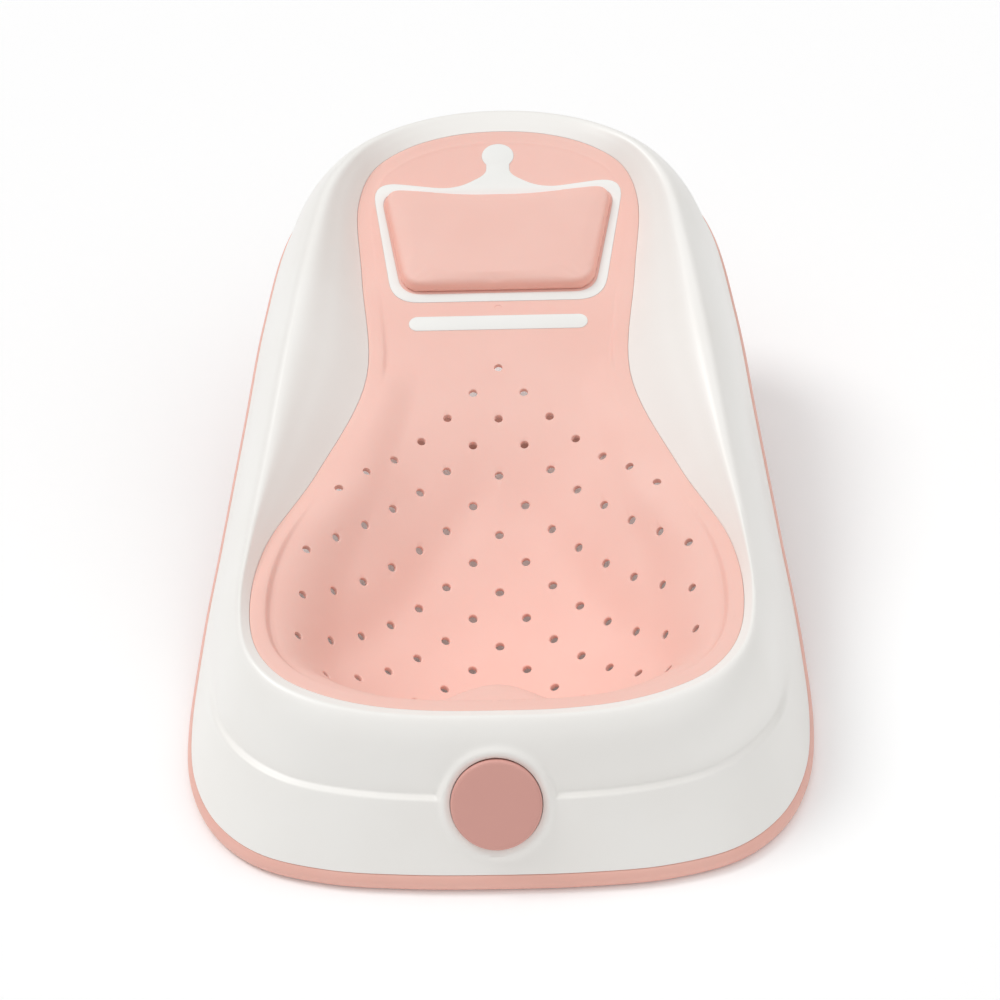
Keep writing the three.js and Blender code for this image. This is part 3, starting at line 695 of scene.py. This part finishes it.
def point_cloud(name, places):
    """A mesh of loose points in metres, each with the turn (radians) of what stands on it."""
    mesh = bpy.data.meshes.new(name)
    mesh.from_pydata([tuple(at) for at, _ in places], [], [])
    turns = mesh.attributes.new("turn", "FLOAT_VECTOR", "POINT")
    for item, (_, turn) in zip(turns.data, places):
        item.vector = turn
    return add(name, mesh)


FASTENERS = fastener_tree()
PERFORATIONS = perforation_tree()


# ---- outer shell -------------------------------------------------------------------------------
LOWER, RISER, UPPER, TOP = 20, 12, 36, 18      # rows of the wall between its turning places
FINE = {"lower": 40, "riser": 8, "upper": 30}  # steps of the line that those rows are taken from
LEDGE_ROWS = (2.2, 1.8, 1.8, 2.3)              # where rows stop and start before and after the ledge
# How far the wall's turns are rounded: everywhere, more where the ledge fades, and over what width.
ROUNDED = {"all": 0.42, "faded": 7, "width": 18}


def wall_line(i):
    """The wall's outer face at one station, unrounded, with its places at ledge, shelf and top."""
    base, inward = LINES["base"][i], LINES["inward"][i]

    def section(point):
        return np.array(((point - base) @ inward, point[2]))

    under = base[1] + inward[1] * WALL["inset"]
    foot = np.array((WALL["inset"], lift(under) + BASE["height"] + GAP))
    ledge = section(LINES["ledge"][i])
    shelf = ledge + np.array((WALL["ledge_step"], WALL["ledge_fall"])) * LINES["step"][i]
    top, edge = section(LINES["crest"][i]), section(LINES["seat"][i])
    bend = shelf + (top - shelf) * (0.36, 0.78)
    slope = top + (edge - top) * (0.45, 0.36)
    bowed = [bow(shelf, bend, top, share) for share in (0.35, 0.7)]
    lower = np.linspace(foot, ledge, FINE["lower"], endpoint=False)
    riser = np.linspace(ledge, shelf, FINE["riser"], endpoint=False)
    line = np.vstack([lower, riser, open_curve([shelf, *bowed, top, slope, edge], FINE["upper"])])
    at_ledge, at_shelf = FINE["lower"], FINE["lower"] + FINE["riser"]
    return line, (at_ledge, at_shelf, at_shelf + 3 * FINE["upper"])


def wall_row(i):
    """Offset and height of the wall's outer face at one station, softly rounded."""
    line, marks = wall_line(i)
    run = np.concatenate([[0], np.cumsum(np.linalg.norm(np.diff(line, axis=0), axis=1))])
    at_ledge, at_shelf, at_top = run[list(marks)]
    before, start, end, after = LEDGE_ROWS
    places = np.concatenate([
        np.linspace(0, at_ledge - before, LOWER), np.linspace(at_ledge - start, at_shelf + end, RISER),
        np.linspace(at_shelf + after, at_top, UPPER), np.linspace(at_top, run[-1], TOP)[1:]])
    near = np.exp(-((places - at_ledge) / ROUNDED["width"]) ** 2)
    spread = ROUNDED["all"] + ROUNDED["faded"] * (1 - LINES["step"][i]) * near
    spread = np.clip(np.minimum(spread, np.minimum(places, run[-1] - places) / 3), 1e-3, None)
    weight = np.exp(-0.5 * ((run[None, :] - places[:, None]) / spread[:, None]) ** 2) * np.gradient(run)
    soft = (weight @ line) / weight.sum(axis=1, keepdims=True)
    soft[0], soft[-1] = line[0], line[-1]
    return soft


def collar(points):
    """Swells the wall out to a soft collar round the disc."""
    inverse = np.array(DISC_FRAME.inverted())
    forward = np.array(DISC_FRAME)
    row = points * MM + np.array((0, -LENGTH / 2 * MM, 0))
    local = (row @ inverse[:3, :3].T + inverse[:3, 3]) / MM
    radius = np.hypot(local[..., 0], local[..., 1])
    fall = (np.maximum(0, radius - COLLAR["radius"]) / COLLAR["roll"]) ** 2
    face = np.maximum(COLLAR["proud"] - fall, -COLLAR["reach"])
    height = local[..., 2]
    swollen = (height + face + np.hypot(height - face, COLLAR["softness"])) / 2
    tilt = COLLAR["bead_tilt"]
    upward = 1 - tilt + tilt * local[..., 1] / np.maximum(radius, 1)
    bead = np.exp(-((radius - COLLAR["bead_at"]) / COLLAR["bead_width"]) ** 2)
    swollen += COLLAR["bead"] * upward * bead
    local[..., 2] = np.where(radius < COLLAR["reach"], swollen, height)
    row = (local * MM) @ forward[:3, :3].T + forward[:3, 3]
    return row / MM + np.array((0, LENGTH / 2, 0))


def wall_rings():
    """The wall's closed section at each station: outer face, flange under the seat, inner face."""
    rings = []
    for i in range(len(PLACES)):
        outer = wall_row(i)
        run = np.gradient(outer, axis=0)
        run /= np.maximum(np.linalg.norm(run, axis=1, keepdims=True), 1e-6)
        normal = np.stack([run[:, 1], -run[:, 0]], axis=1)
        inner = (outer + normal * WALL["thickness"])[:-6:3]     # every third row, to below the flange
        inner[:, 1] = np.maximum(inner[:, 1], outer[0, 1])
        base, inward = LINES["base"][i], LINES["inward"][i]
        edge, lip = outer[-1, 0], outer[-1, 0] + WALL["flange"]
        shelf = [band_height(LINES["seat"][i], base + inward * offset) - SEAT["thickness"] - GAP
                 for offset in (edge, lip)]
        flange = [(edge, shelf[0]), (lip, shelf[1]), (lip, shelf[1] - WALL["flange_thickness"]),
                  (edge - 1, shelf[0] - WALL["flange_thickness"])]
        section = np.vstack([outer, flange, inner[::-1]])
        points = base + inward * section[:, :1]
        points[:, 2] = section[:, 1]
        rings.append(points)
    rings = np.array(rings)
    outer_rows = LOWER + RISER + UPPER + TOP - 1
    front = (np.abs(rings[:, 0, 0]) < COLLAR["reach"]) & (rings[:, 0, 1] < LENGTH / 2)
    rings[front, :outer_rows] = collar(rings[front, :outer_rows])
    return rings


def standing(row, side, inset):
    """A place on the base, in from its edge at an outline row, as (x, distance, height)."""
    last = len(HALF_OUTLINE) - 1
    place = np.array([row if side > 0 else 2 * last - row])
    line = along(place)
    at = line["base"][0] + line["inward"][0] * inset
    return np.array((at[0], at[1], lift(at[1])))


SCREW_PLACES = [standing(row, side, SCREW["inset"]) for row in SCREW_ROWS for side in SIDES]
PAD_PLACES = [standing(row, side, PAD["inset"]) for row in PAD_ROWS for side in SIDES]


def outer_shell():
    """The white wall with its screw bosses, its disc recess and the material behind that."""
    shell = ring_loft("outer_shell_skin", wall_rings())
    top = BASE["height"] + GAP + BASE["slope"] * SCREW["boss"]
    radius, tall = SCREW["boss"], SCREW["boss_height"]
    boss = [(0, 0), (radius, 0), (radius, tall - 0.6), (radius - 0.6, tall), (0, tall)]
    added = [turned("boss", boss, 28, at=at + (0, 0, top)) for at in SCREW_PLACES]
    mouth, floor = DISC["radius"] + GAP + 0.1, -DISC["recess"]
    backing = [(0, -5), (mouth + 2, -5), (mouth + 2.6, -4.4), (mouth + 2.6, -0.9), (0, -0.9)]
    added.append(turned("backing", backing, 72, DISC_FRAME))
    combine(shell, added, "UNION")
    recess = [(0, floor), (mouth, floor), (mouth, 1.8), (mouth + 0.2, 2.5), (mouth + 0.7, 3.2),
              (mouth + 1.5, 3.8), (mouth + 1.5, 40), (0, 40)]
    combine(shell, [turned("recess", recess, 96, DISC_FRAME)], "DIFFERENCE")
    tools = [cylinder("bore", DISC["stem"] + GAP, -40, -1, 48, DISC_FRAME)]
    tools += [cylinder("hole", SCREW["clearance"], 0, SCREW["length"] + 0.6, 20, at=at)
              for at in SCREW_PLACES]
    combine(shell, tools, "DIFFERENCE")
    dress(shell, WHITE, ["outer_shell"])


# ---- perimeter base ----------------------------------------------------------------------------
RIM_SECTION = [(2.9, 0), (1.4, 0.35), (0.45, 1.4), (0.05, 3.0), (0, 4.6), (0.25, 5.7), (0.95, 7.0),
               (1.7, 8.2), (2.35, 8.85), (3.2, 9), (17.2, 9), (18, 8.2), (18, 2.4), (16.9, 0.6),
               (15.8, 0)]


def rim_rings():
    """The base's section at each station, standing on the base's underside."""
    rings = np.zeros((len(PLACES), len(RIM_SECTION), 3))
    for j, (offset, height) in enumerate(RIM_SECTION):
        at = LINES["base"] + LINES["inward"] * offset
        rings[:, j, :2] = at[:, :2]
        rings[:, j, 2] = lift(at[:, 1]) + height
    return rings


def screw_space(matrix=ROW_FRAME, at=(0, 0, 0)):
    """The stepped hole a screw needs, from the underside of what it enters."""
    wide, shoulder = SCREW["head"] + 0.6, SCREW["seat"] + SCREW["head_height"] + GAP
    places = [(0, -8), (wide, -8), (wide, shoulder), (SCREW["clearance"], shoulder),
              (SCREW["clearance"], 24), (0, 24)]
    return turned("space", places, 28, matrix, at)


TAB_PLACES = [(side * (sum(BEAM["tab"]) / 2 - 1), 0, -BASE["height"] - GAP) for side in SIDES]


def base_rim():
    """The base with its two tabs, the screws' holes and the pads' pockets."""
    rim = ring_loft("base_rim_skin", rim_rings())
    outline = box_path(*BEAM["tab"], BEAM["tab_half"], 3)
    tabs = [plate("tab", [outline * (side, 1)], -BASE["height"] - GAP, -GAP, 0.5, BEAM_FRAME)
            for side in SIDES]
    combine(rim, tabs, "UNION")
    tools = [screw_space(at=at) for at in SCREW_PLACES]
    tools += [screw_space(BEAM_FRAME, at) for at in TAB_PLACES]
    tools += [cylinder("pocket", PAD["radius"] + GAP, -1, PAD["thickness"] + GAP, 32,
                       at=(at[0], at[1], 0)) for at in PAD_PLACES]
    combine(rim, tools, "DIFFERENCE")
    dress(rim, RIM, ["base_rim"])


# ---- soft seat -----------------------------------------------------------------------------------
SPINE_RINGS = 44


def seat_rings():
    """Rings of the seat's top from its edge in to the middle line."""
    seat, inward = LINES["seat"], LINES["inward"]
    ends = seat[:, 1].min(), seat[:, 1].max()
    share = ((seat[:, 1] - ends[0]) / (ends[1] - ends[0]))[:, None]
    middle = np.hstack([np.zeros_like(share), SPINE[0] + (SPINE[1] - SPINE[0]) * share,
                        np.zeros_like(share)])

    def ring(offset, drop):
        at = seat + inward * offset
        at[:, 2] = band_height(seat, at) + drop
        return at

    def lying(at):
        at = at.copy()
        at[:, 2] = seat_height(at[:, 0], at[:, 1], seat[:, 2])
        return at

    rings = [ring(GAP * 0.4, -0.5), ring(GAP * 0.4 + 0.15, -0.15), ring(GAP + 0.4, 0), ring(3.5, 0),
             ring(6.5, 0), ring(SEAT["border"] - 0.6, 0)]
    foot = lying(seat + inward * (SEAT["border"] + SEAT["step_width"]))
    brow = rings[-1]
    for k in (0.2, 0.4, 0.6, 0.8):
        ease = k * k * (3 - 2 * k)
        at = brow + (foot - brow) * k
        at[:, 2] = brow[:, 2] + (lying(at)[:, 2] - brow[:, 2]) * ease
        rings.append(at)
    rings.append(foot)
    for k in range(1, SPINE_RINGS + 1):
        at = foot + (middle - foot) * (k / SPINE_RINGS)
        rings.append(lying(at))
    return rings


def thick_sheet(name, rings, thickness):
    """A sheet of even depth from nested rings whose last ring folds onto the middle line."""
    top = np.array(rings)
    under = top.copy()
    under[:, :, 2] -= thickness
    for ring, rise in enumerate((0.35, 0.1, 0)):
        under[ring, :, 2] = top[2, :, 2] - thickness + rise
    levels, count, _ = top.shape
    index = np.arange(levels * count).reshape(levels, count)
    nexts = np.roll(index, -1, axis=1)
    upper = np.stack([index[:-1], nexts[:-1], nexts[1:], index[1:]], -1).reshape(-1, 4)
    lower = upper[:, ::-1] + levels * count
    side = np.stack([index[0] + levels * count, nexts[0] + levels * count, nexts[0], index[0]], -1)
    faces = np.vstack([upper, lower, side])
    return piece_of(name, np.vstack([top.reshape(-1, 3), under.reshape(-1, 3)]), faces.tolist())


def hole_places():
    """Where each drain hole goes through the seat, square to its surface."""
    places = []
    for column, (first, last) in enumerate(HOLE_ROWS):
        for row in range(first, last + 1, 2):
            for side in SIDES if column else (1,):
                x = side * column * HOLES["pitch_x"]
                distance = HOLES["first"] - HOLES["pitch_y"] * row
                at = (x, distance, surface(x, distance))
                slope_x = (surface(x + 1, distance) - surface(x - 1, distance)) / 2
                slope_y = (surface(x, distance + 1) - surface(x, distance - 1)) / 2
                normal = Vector((-slope_x, -slope_y, 1)).normalized()
                turn = Vector((0, 0, 1)).rotation_difference(normal).to_euler()
                places.append((ROW_FRAME @ (Vector(at) * MM), turn))
    return places


def surface(x, distance):
    """Height of the seat's top inside its border, with the edge's height beside it."""
    half = slice(0, len(PLACES) // 2 + 1)
    edge = np.interp(distance, LINES["seat"][half, 1], LINES["seat"][half, 2])
    return float(seat_height(np.array(x), np.array(distance, float), edge))


def moved(corners, moves):
    """Corners (x, distance, radius) as places on the deck, each changed by its own three values."""
    return [(x + right, along_deck(distance) + up, radius + wider)
            for (x, distance, radius), (right, up, wider) in zip(corners, moves)]


def border_outlines(grow=0.0):
    """The frame round the head cushion with its stalk and ball, and the opening inside it."""
    ball, ball_at = BORDER["ball_radius"] + grow, along_deck(BORDER["ball_at"])
    half = moved(FRAME_CORNERS, [(grow, -grow, 0), (grow, grow, 0), (0, grow, 0), (grow, 0, 0)])
    start = math.asin(half[-1][0] / ball)
    for k in range(14):
        angle = start + (math.pi - start) * k / 13.5
        half.append((ball * math.sin(angle), ball_at - ball * math.cos(angle), 0.8))
    inner = moved(OPENING_CORNERS, [(-grow, grow, 0), (-grow, -grow, 0), (0, -grow, 0)])
    return [rounded_path(both_halves(half)), rounded_path(both_halves(inner))]


def bar_outline(grow=0.0):
    radius, at = BAR["width"] / 2 + grow, along_deck(BAR["at"])
    half = BAR["half_length"] - BAR["width"] / 2
    right = rounding((half, at), radius, -90, 90, 17)
    left = rounding((-half, at), radius, 90, 270, 17)
    return np.array([*right, *left])


def inlay_pockets():
    """What the seat leaves free for its inlays, and the small mark between them."""
    side, floor = POCKET_CLEAR["side"], -BORDER["depth"] - POCKET_CLEAR["floor"]
    mark = [(0, -MARK["depth"]), (MARK["radius"], -MARK["depth"]), (MARK["radius"] + 0.3, 2), (0, 2)]
    return join([plate("pocket", border_outlines(side), floor, 4, 0.01, DECK_FRAME),
                 plate("pocket", [bar_outline(side)], floor, 4, 0.01, DECK_FRAME),
                 turned("mark", mark, 24, DECK_FRAME, (0, along_deck(MARK["at"]), 0))], "inlays")


def seat_membrane():
    """The soft sheet with its drain holes, their lips eased, and the inlays' pockets."""
    sheet = thick_sheet("seat_membrane_skin", seat_rings(), SEAT["thickness"])
    radius, lip = HOLES["radius"], HOLES["lip"]
    tool = turned("drill", [(0, -9), (radius, -9), (radius, -lip * 1.4),
                            *rounding((radius + lip * 1.4, -lip * 1.4), lip * 1.4, 170, 100, 4),
                            (radius + lip * 2.4, 1.5), (0, 1.5)], 22, Matrix.Identity(4))
    places, inlays = point_cloud("places", hole_places()), inlay_pockets()
    run_tree(sheet, PERFORATIONS, {"Places": places, "Tool": tool, "Inlays": inlays,
                                   "Scale": 1.0, "Material": SOFT})
    for used in (places, tool, inlays):
        bpy.data.objects.remove(used)
    dress(sheet, SOFT, ["seat_membrane"], sharp=38)


def inlay(name, outlines):
    """A thin white inlay in the seat's top round the head."""
    low, high = -BORDER["depth"], BORDER["proud"]
    made = plate(f"{name}_inlay", outlines, low, high, BORDER["edge"], DECK_FRAME)
    dress(made, TRIM, [name])


# ---- head cushion --------------------------------------------------------------------------------
CUSHION_RINGS = [(0.6, 0.35), (0.05, 0.7), (0.1, 1.4), (0.8, 3.2), (1.6, 5.0), (2.4, 6.5),
                 (3.3, 7.3), (4.8, 7.7), (8, 7.9), (13, 8), (19, 8.05), (25, 8.1)]
CUSHION_POINTS = 72


def cushion_outline(inset):
    """The cushion's outline, which follows the border's opening and steps in less at the head."""
    side, head = CUSHION["clear"] + inset, CUSHION["clear"] + inset * CUSHION["head_share"]
    tighter = -min(inset, CUSHION["tighter"])
    half = moved(OPENING_CORNERS, [(-side, side, tighter), (-side, -head, tighter), (0, -head, 0)])
    return rounded_path(both_halves(half), CUSHION_POINTS // 6)


def head_cushion():
    """A soft pad: a crowned block that is blown up as cloth, held along its underside."""
    count = CUSHION_POINTS
    rings = [np.hstack([cushion_outline(inset), np.full((count, 1), height)])
             for inset, height in CUSHION_RINGS]
    index = np.arange(len(rings) * count).reshape(len(rings), count)
    nexts = np.roll(index, -1, axis=1)
    walls = np.stack([index[:-1], nexts[:-1], nexts[1:], index[1:]], -1).reshape(-1, 4).tolist()
    faces = [*walls, index[0].tolist(), index[-1].tolist()]
    pad = piece_of("head_cushion_pad", np.vstack(rings), faces, DECK_FRAME)
    remesh = pad.modifiers.new("even mesh", "REMESH")
    remesh.mode = "VOXEL"
    remesh.voxel_size = CUSHION["voxel"] * MM
    bake(pad)
    blow_up(pad, CUSHION["pressure"], CUSHION["most_moved"] * MM)
    step = pad.modifiers.new("fine", "SUBSURF")
    step.levels = step.render_levels = 1
    bake(pad)
    dress(pad, PADDING, ["head_cushion"], sharp=180)


def mesh_points(piece):
    points = np.zeros(len(piece.data.vertices) * 3)
    piece.data.vertices.foreach_get("co", points)
    return points.reshape(-1, 3)


def blow_up(pad, pressure, cap):
    """Runs the pad as cloth under pressure, and lets no point move further than the cap."""
    before = mesh_points(pad)
    inverse = np.array(DECK_FRAME.inverted())
    height = (before @ inverse[:3, :3].T + inverse[:3, 3])[:, 2]
    held = pad.vertex_groups.new(name="held")
    held.add([int(i) for i in np.nonzero(height < CUSHION["held_below"] * MM)[0]], 1.0, "REPLACE")
    step = pad.modifiers.new("cloth", "CLOTH")
    step.settings.use_pressure = True
    step.settings.uniform_pressure_force = pressure
    step.settings.vertex_group_mass = "held"
    step.settings.effector_weights.gravity = 0
    step.settings.tension_stiffness = step.settings.compression_stiffness = 40
    scene = bpy.context.scene
    for number in range(1, 21):
        scene.frame_set(number)
    bake(pad)
    scene.frame_set(1)
    shift = mesh_points(pad) - before
    far = np.linalg.norm(shift, axis=1, keepdims=True)
    shift *= np.minimum(1, cap / np.maximum(far, 1e-9))
    pad.data.vertices.foreach_set("co", (before + shift).ravel())
    pad.data.update()
    pad.vertex_groups.clear()


# ---- front disc ----------------------------------------------------------------------------------
def front_disc():
    """The disc with its press-in stem, which has a groove for the seal."""
    seat_at = -DISC["recess"] + GAP
    end = seat_at - DISC["stem_length"]
    stem, radius, top, edge = DISC["stem"], DISC["radius"], DISC["thickness"], DISC["edge"]
    groove_start, groove_end, groove_floor = end + 3, end + 5.6, stem - 1.6
    places = [(0, end), (stem - 0.8, end), (stem, end + 0.8), (stem, groove_start),
              (groove_floor, groove_start), (groove_floor, groove_end), (stem, groove_end),
              (stem, seat_at), *rounding((radius - 0.5, seat_at + 0.5), 0.5, -90, 0, 4),
              *rounding((radius - edge, top - edge), edge, 0, 80, 8),
              (radius - 2.8, top - 0.01), (radius - 6, top + 0.06), (radius * 0.4, top + 0.1),
              (0, top + 0.1)]
    disc = turned("front_disc_cap", places, 128, DISC_FRAME)
    dress(disc, ROSE, ["front_disc"], "disc")


def disc_seal():
    """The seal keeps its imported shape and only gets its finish."""
    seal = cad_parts["disc_seal"]
    seal.data.materials.clear()
    seal.data.materials.append(RUBBER)


# ---- fasteners and pads ----------------------------------------------------------------------------
def screw_example(length):
    """A pan-head screw with a crossed recess and a threaded shank, its head downwards."""
    low, top = SCREW["seat"], SCREW["seat"] + SCREW["head_height"]
    shank, head = SCREW["shank"], SCREW["head"]
    places = [(0, low), (1.2, low + 0.02), (2.2, low + 0.22), (head - 0.25, low + 0.75),
              (head, low + 1.2), (head, top - 0.1), (head - 0.1, top), (shank, top)]
    for height in np.arange(top + 0.5, length - 2.2, SCREW["thread"]):
        places += [(shank - 0.22, height), (shank + 0.12, height + 0.3), (shank - 0.22, height + 0.6)]
    places += [(shank - 0.2, length - 1.6), (0.5, length - 0.3), (0, length)]
    screw = turned("screw", places, 20, Matrix.Identity(4))
    slot = box_path(-SCREW["slot"], SCREW["slot"], SCREW["slot_half"], 0)
    for turn in (0, math.pi / 2):
        arm = plate("arm", [slot], low - 1, low + SCREW["slot_depth"], 0.01, Matrix.Rotation(turn, 4, "Z"))
        combine(screw, [arm], "DIFFERENCE")
    return screw


def pad_example(radius):
    """A round pad with a rounded rim and three ribs underneath."""
    depth = PAD["thickness"]
    places = [(0, 0.25), (radius * 0.25, 0.25), (radius * 0.32, 0), (radius * 0.48, 0),
              (radius * 0.55, 0.25), (radius * 0.68, 0.25), (radius * 0.75, 0),
              *rounding((radius - 0.5, 0.5), 0.5, -90, 0, 4),
              *rounding((radius - 0.3, depth - 0.3), 0.3, 0, 90, 3), (0, depth)]
    return turned("pad", places, 40, Matrix.Identity(4))


def in_row(at):
    return ROW_FRAME @ (Vector(at) * MM)


def copies(name, example, places, finish, body="shell"):
    """Copies of an example, which isn't kept, at places (node, place, turn), as one dressed piece."""
    points = point_cloud(name, [(at, turn) for _, at, turn in places])
    made = run_tree(points, FASTENERS, {"Piece": example, "Scale": 1.0, "Material": finish})
    tidy(made)
    dress(made, finish, [node for node, _, _ in places], body)
    bpy.data.objects.remove(example)


def fasteners():
    """The screws of the base and the beam, and the pads of the base and the stand."""
    sides = ("right", "left")
    names = [f"base_screw_{side}_{i + 1}" for i in range(len(SCREW_ROWS)) for side in sides]
    places = [(names[i], in_row(at), (0, 0, 0.4 * i)) for i, at in enumerate(SCREW_PLACES)]
    copies("base_screws", screw_example(SCREW["length"]), places, STEEL)

    tilt = math.atan(BASE["slope"])
    places = [(f"beam_screw_{side}", BEAM_FRAME @ (Vector(at) * MM), (tilt, 0, 0))
              for side, at in zip(sides, TAB_PLACES)]
    copies("beam_screws", screw_example(SCREW["beam_length"]), places, STEEL)

    names = [f"base_pad_{side}_{i + 1}" for i in range(len(PAD_ROWS)) for side in sides]
    places = [(name, in_row((at[0], at[1], 0)), (0, 0, 0)) for name, at in zip(names, PAD_PLACES)]
    copies("base_pads", pad_example(PAD["radius"]), places, RUBBER)

    places = [(f"stand_pad_{side}", in_row((sign * STAND["pad_x"], STAND["foot_at"], 0)), (0, 0, 0))
              for side, sign in zip(sides, SIDES)]
    copies("stand_pads", pad_example(PAD["stand_radius"]), places, RUBBER, "stand")


# ---- hinge beam, pins and rear stand ---------------------------------------------------------------
ACROSS = Matrix(((0, 0, 1, 0), (1, 0, 0, 0), (0, 1, 0, 0), (0, 0, 0, 1)))   # a plate's XY as YZ
LEG = (HINGE["leg_x"] - HINGE["leg_width"] / 2, HINGE["leg_x"] + HINGE["leg_width"] / 2)


def pin_bore():
    """A round tool along the hinge's axis, for both pins."""
    return cylinder("bore", HINGE["pin"] + GAP, -150, 150, 32, HINGE_FRAME @ ACROSS)


def hinge_beam():
    """The bar across the base's tabs, with a rib underneath and two ears at each leg."""
    half, rib = BEAM["half_length"], LEG[0] - 10
    outline = box_path(-half, half, BEAM["width"] / 2, 4)
    beam = plate("hinge_beam_bar", [outline], 0, BEAM["thickness"], 1.0, BEAM_FRAME)
    rib_outline = box_path(-rib, rib, BEAM["rib_half"], 1.5)
    extra = [plate("rib", [rib_outline], -BEAM["rib_depth"], 0.5, 0.5, BEAM_FRAME)]
    hub, tall, ear = HINGE["hub"], HINGE["ear_height"], HINGE["ear"]
    outline = np.array([*rounding((0, 0), hub, 180, 360, 25), (hub, tall), (-hub, tall)])
    for side in SIDES:
        for near in (LEG[0] - GAP - ear, LEG[1] + GAP):
            start = near if side > 0 else -near - ear
            extra.append(plate("ear", [outline], start, start + ear, 0.5, HINGE_FRAME @ ACROSS))
    combine(beam, extra, "UNION")
    tools = [pin_bore()]
    tools += [cylinder("hole", SCREW["clearance"], -1, 5.6, 20, BEAM_FRAME, (x, 0, 0))
              for x, _, _ in TAB_PLACES]
    combine(beam, tools, "DIFFERENCE")
    dress(beam, WHITE, ["hinge_beam"])


def hinge_pins():
    """Headed pins, each through an ear, the leg's hub and the next ear."""
    pin, tall, end = HINGE["pin"], PIN["head_height"], PIN["length"]
    start, head = LEG[0] - 2 * GAP - HINGE["ear"] - tall, pin + PIN["head"]
    places = [(0, 0), (head - 0.5, 0), (head, 0.5), (head, tall - 0.3), (head - 0.3, tall), (pin, tall),
              (pin, end - 0.8), (pin - 0.8, end), (0, end)]
    for turn, name in ((0, "right"), (math.pi, "left")):
        pin_frame = HINGE_FRAME @ Matrix.Rotation(turn, 4, "Z") @ ACROSS
        made = turned(f"hinge_pin_{name}_turned", places, 40, pin_frame, (0, 0, start))
        dress(made, STEEL, [f"hinge_pin_{name}"])


def rear_stand():
    """The foot bar with its two legs, which turn on the pins."""
    low = BASE["ground"] + STAND["foot_height"] / 2
    wide, tall = STAND["foot_width"] / 2, STAND["foot_height"] / 2
    run = STAND["foot_at"] - HINGE["at"]
    section = rounded_path([(run - wide, low - tall, 2.2), (run + wide, low - tall, 2.2),
                            (run + wide, low + tall, 6), (run - wide, low + tall, 6)])
    section[:, 1] -= HINGE["height"]
    frame_across = HINGE_FRAME @ ACROSS
    stand = plate("rear_stand_frame", [section], -LEG[1], LEG[1], 1.6, frame_across)
    lean = math.atan2(run, HINGE["height"] - low)
    reach = math.hypot(run, HINGE["height"] - low)
    hub, half = HINGE["hub"], STAND["leg_depth"] / 2
    leg = np.array([*rounding((0, 0), hub, -20, 200, 25), (-half, -16), (-half, -reach), (half, -reach),
                    (half, -16)])
    turn = Matrix.Rotation(lean, 4, "Z")
    legs = [plate("leg", [leg], *(sorted((side * LEG[0], side * LEG[1]))), 1.2, frame_across @ turn)
            for side in SIDES]
    combine(stand, legs, "UNION")
    tools = [pin_bore()]
    tools += [cylinder("pocket", PAD["stand_radius"] + GAP, -1, PAD["thickness"] + GAP, 40,
                       at=(side * STAND["pad_x"], STAND["foot_at"], 0)) for side in SIDES]
    combine(stand, tools, "DIFFERENCE")
    dress(stand, RIM, ["rear_stand"], "stand")


# ---- camera, light and floor ------------------------------------------------------------------------
CAMERA = {"lens": 84.6, "back": 1160, "up": 864.5, "orbit": 1.6, "tilt": 35, "roll": 2.0}
# Name, strength, size in degrees and direction of each light.
LIGHTS = [("soft_box", 1.29, 110, (-0.3, 0.3, -2.0)), ("key_light", 0.95, 22, (1.4, -0.55, -2.0))]
WORLD_STRENGTH = 0.32
FLOOR_HALF = 16.0


def camera():
    """The camera looks down from the foot end, a little from the right."""
    lens = bpy.data.cameras.new("camera")
    lens.lens, lens.sensor_width = CAMERA["lens"], 36
    lens.clip_start, lens.clip_end = 0.05, 20
    made = add("camera", lens)
    orbit, tilt, roll = (math.radians(CAMERA[key]) for key in ("orbit", "tilt", "roll"))
    back, up = CAMERA["back"] * MM, CAMERA["up"] * MM
    at = Matrix.Translation((back * math.sin(orbit), -back * math.cos(orbit), up))
    turn = Matrix.Rotation(orbit, 4, "Z") @ Matrix.Rotation(math.pi / 2 - tilt, 4, "X")
    made.matrix_world = at @ turn @ Matrix.Rotation(-roll, 4, "Z")
    bpy.context.scene.camera = made


def studio():
    """Even white surroundings, two suns and a pale floor."""
    world = bpy.data.worlds.new("studio")
    bpy.context.scene.world = world
    world.use_nodes = True
    background = world.node_tree.nodes["Background"]
    background.inputs["Color"].default_value = (1, 1, 1, 1)
    background.inputs["Strength"].default_value = WORLD_STRENGTH
    for name, energy, angle, toward in LIGHTS:
        light = bpy.data.lights.new(name, "SUN")
        light.energy = energy
        light.angle = math.radians(angle)
        add(name, light).rotation_euler = Vector(toward).to_track_quat("-Z", "Y").to_euler()
    bpy.context.scene.view_settings.view_transform = "Standard"
    half = FLOOR_HALF
    mesh = bpy.data.meshes.new("floor")
    mesh.from_pydata([(-half, -half, 0), (half, -half, 0), (half, half, 0), (-half, half, 0)], [],
                     [(0, 1, 2, 3)])
    paper, _, _ = new_material("floor_paper", {
        "Base Color": (0.97, 0.97, 0.97, 1), "Emission Color": (1, 1, 1, 1),
        "Emission Strength": 0.06, "Roughness": 0.9})
    mesh.materials.append(paper)
    add("floor", mesh)


camera()
studio()
outer_shell()
base_rim()
seat_membrane()
inlay("head_border", border_outlines())
inlay("neck_bar", [bar_outline()])
head_cushion()
front_disc()
disc_seal()
fasteners()
hinge_beam()
hinge_pins()
rear_stand()
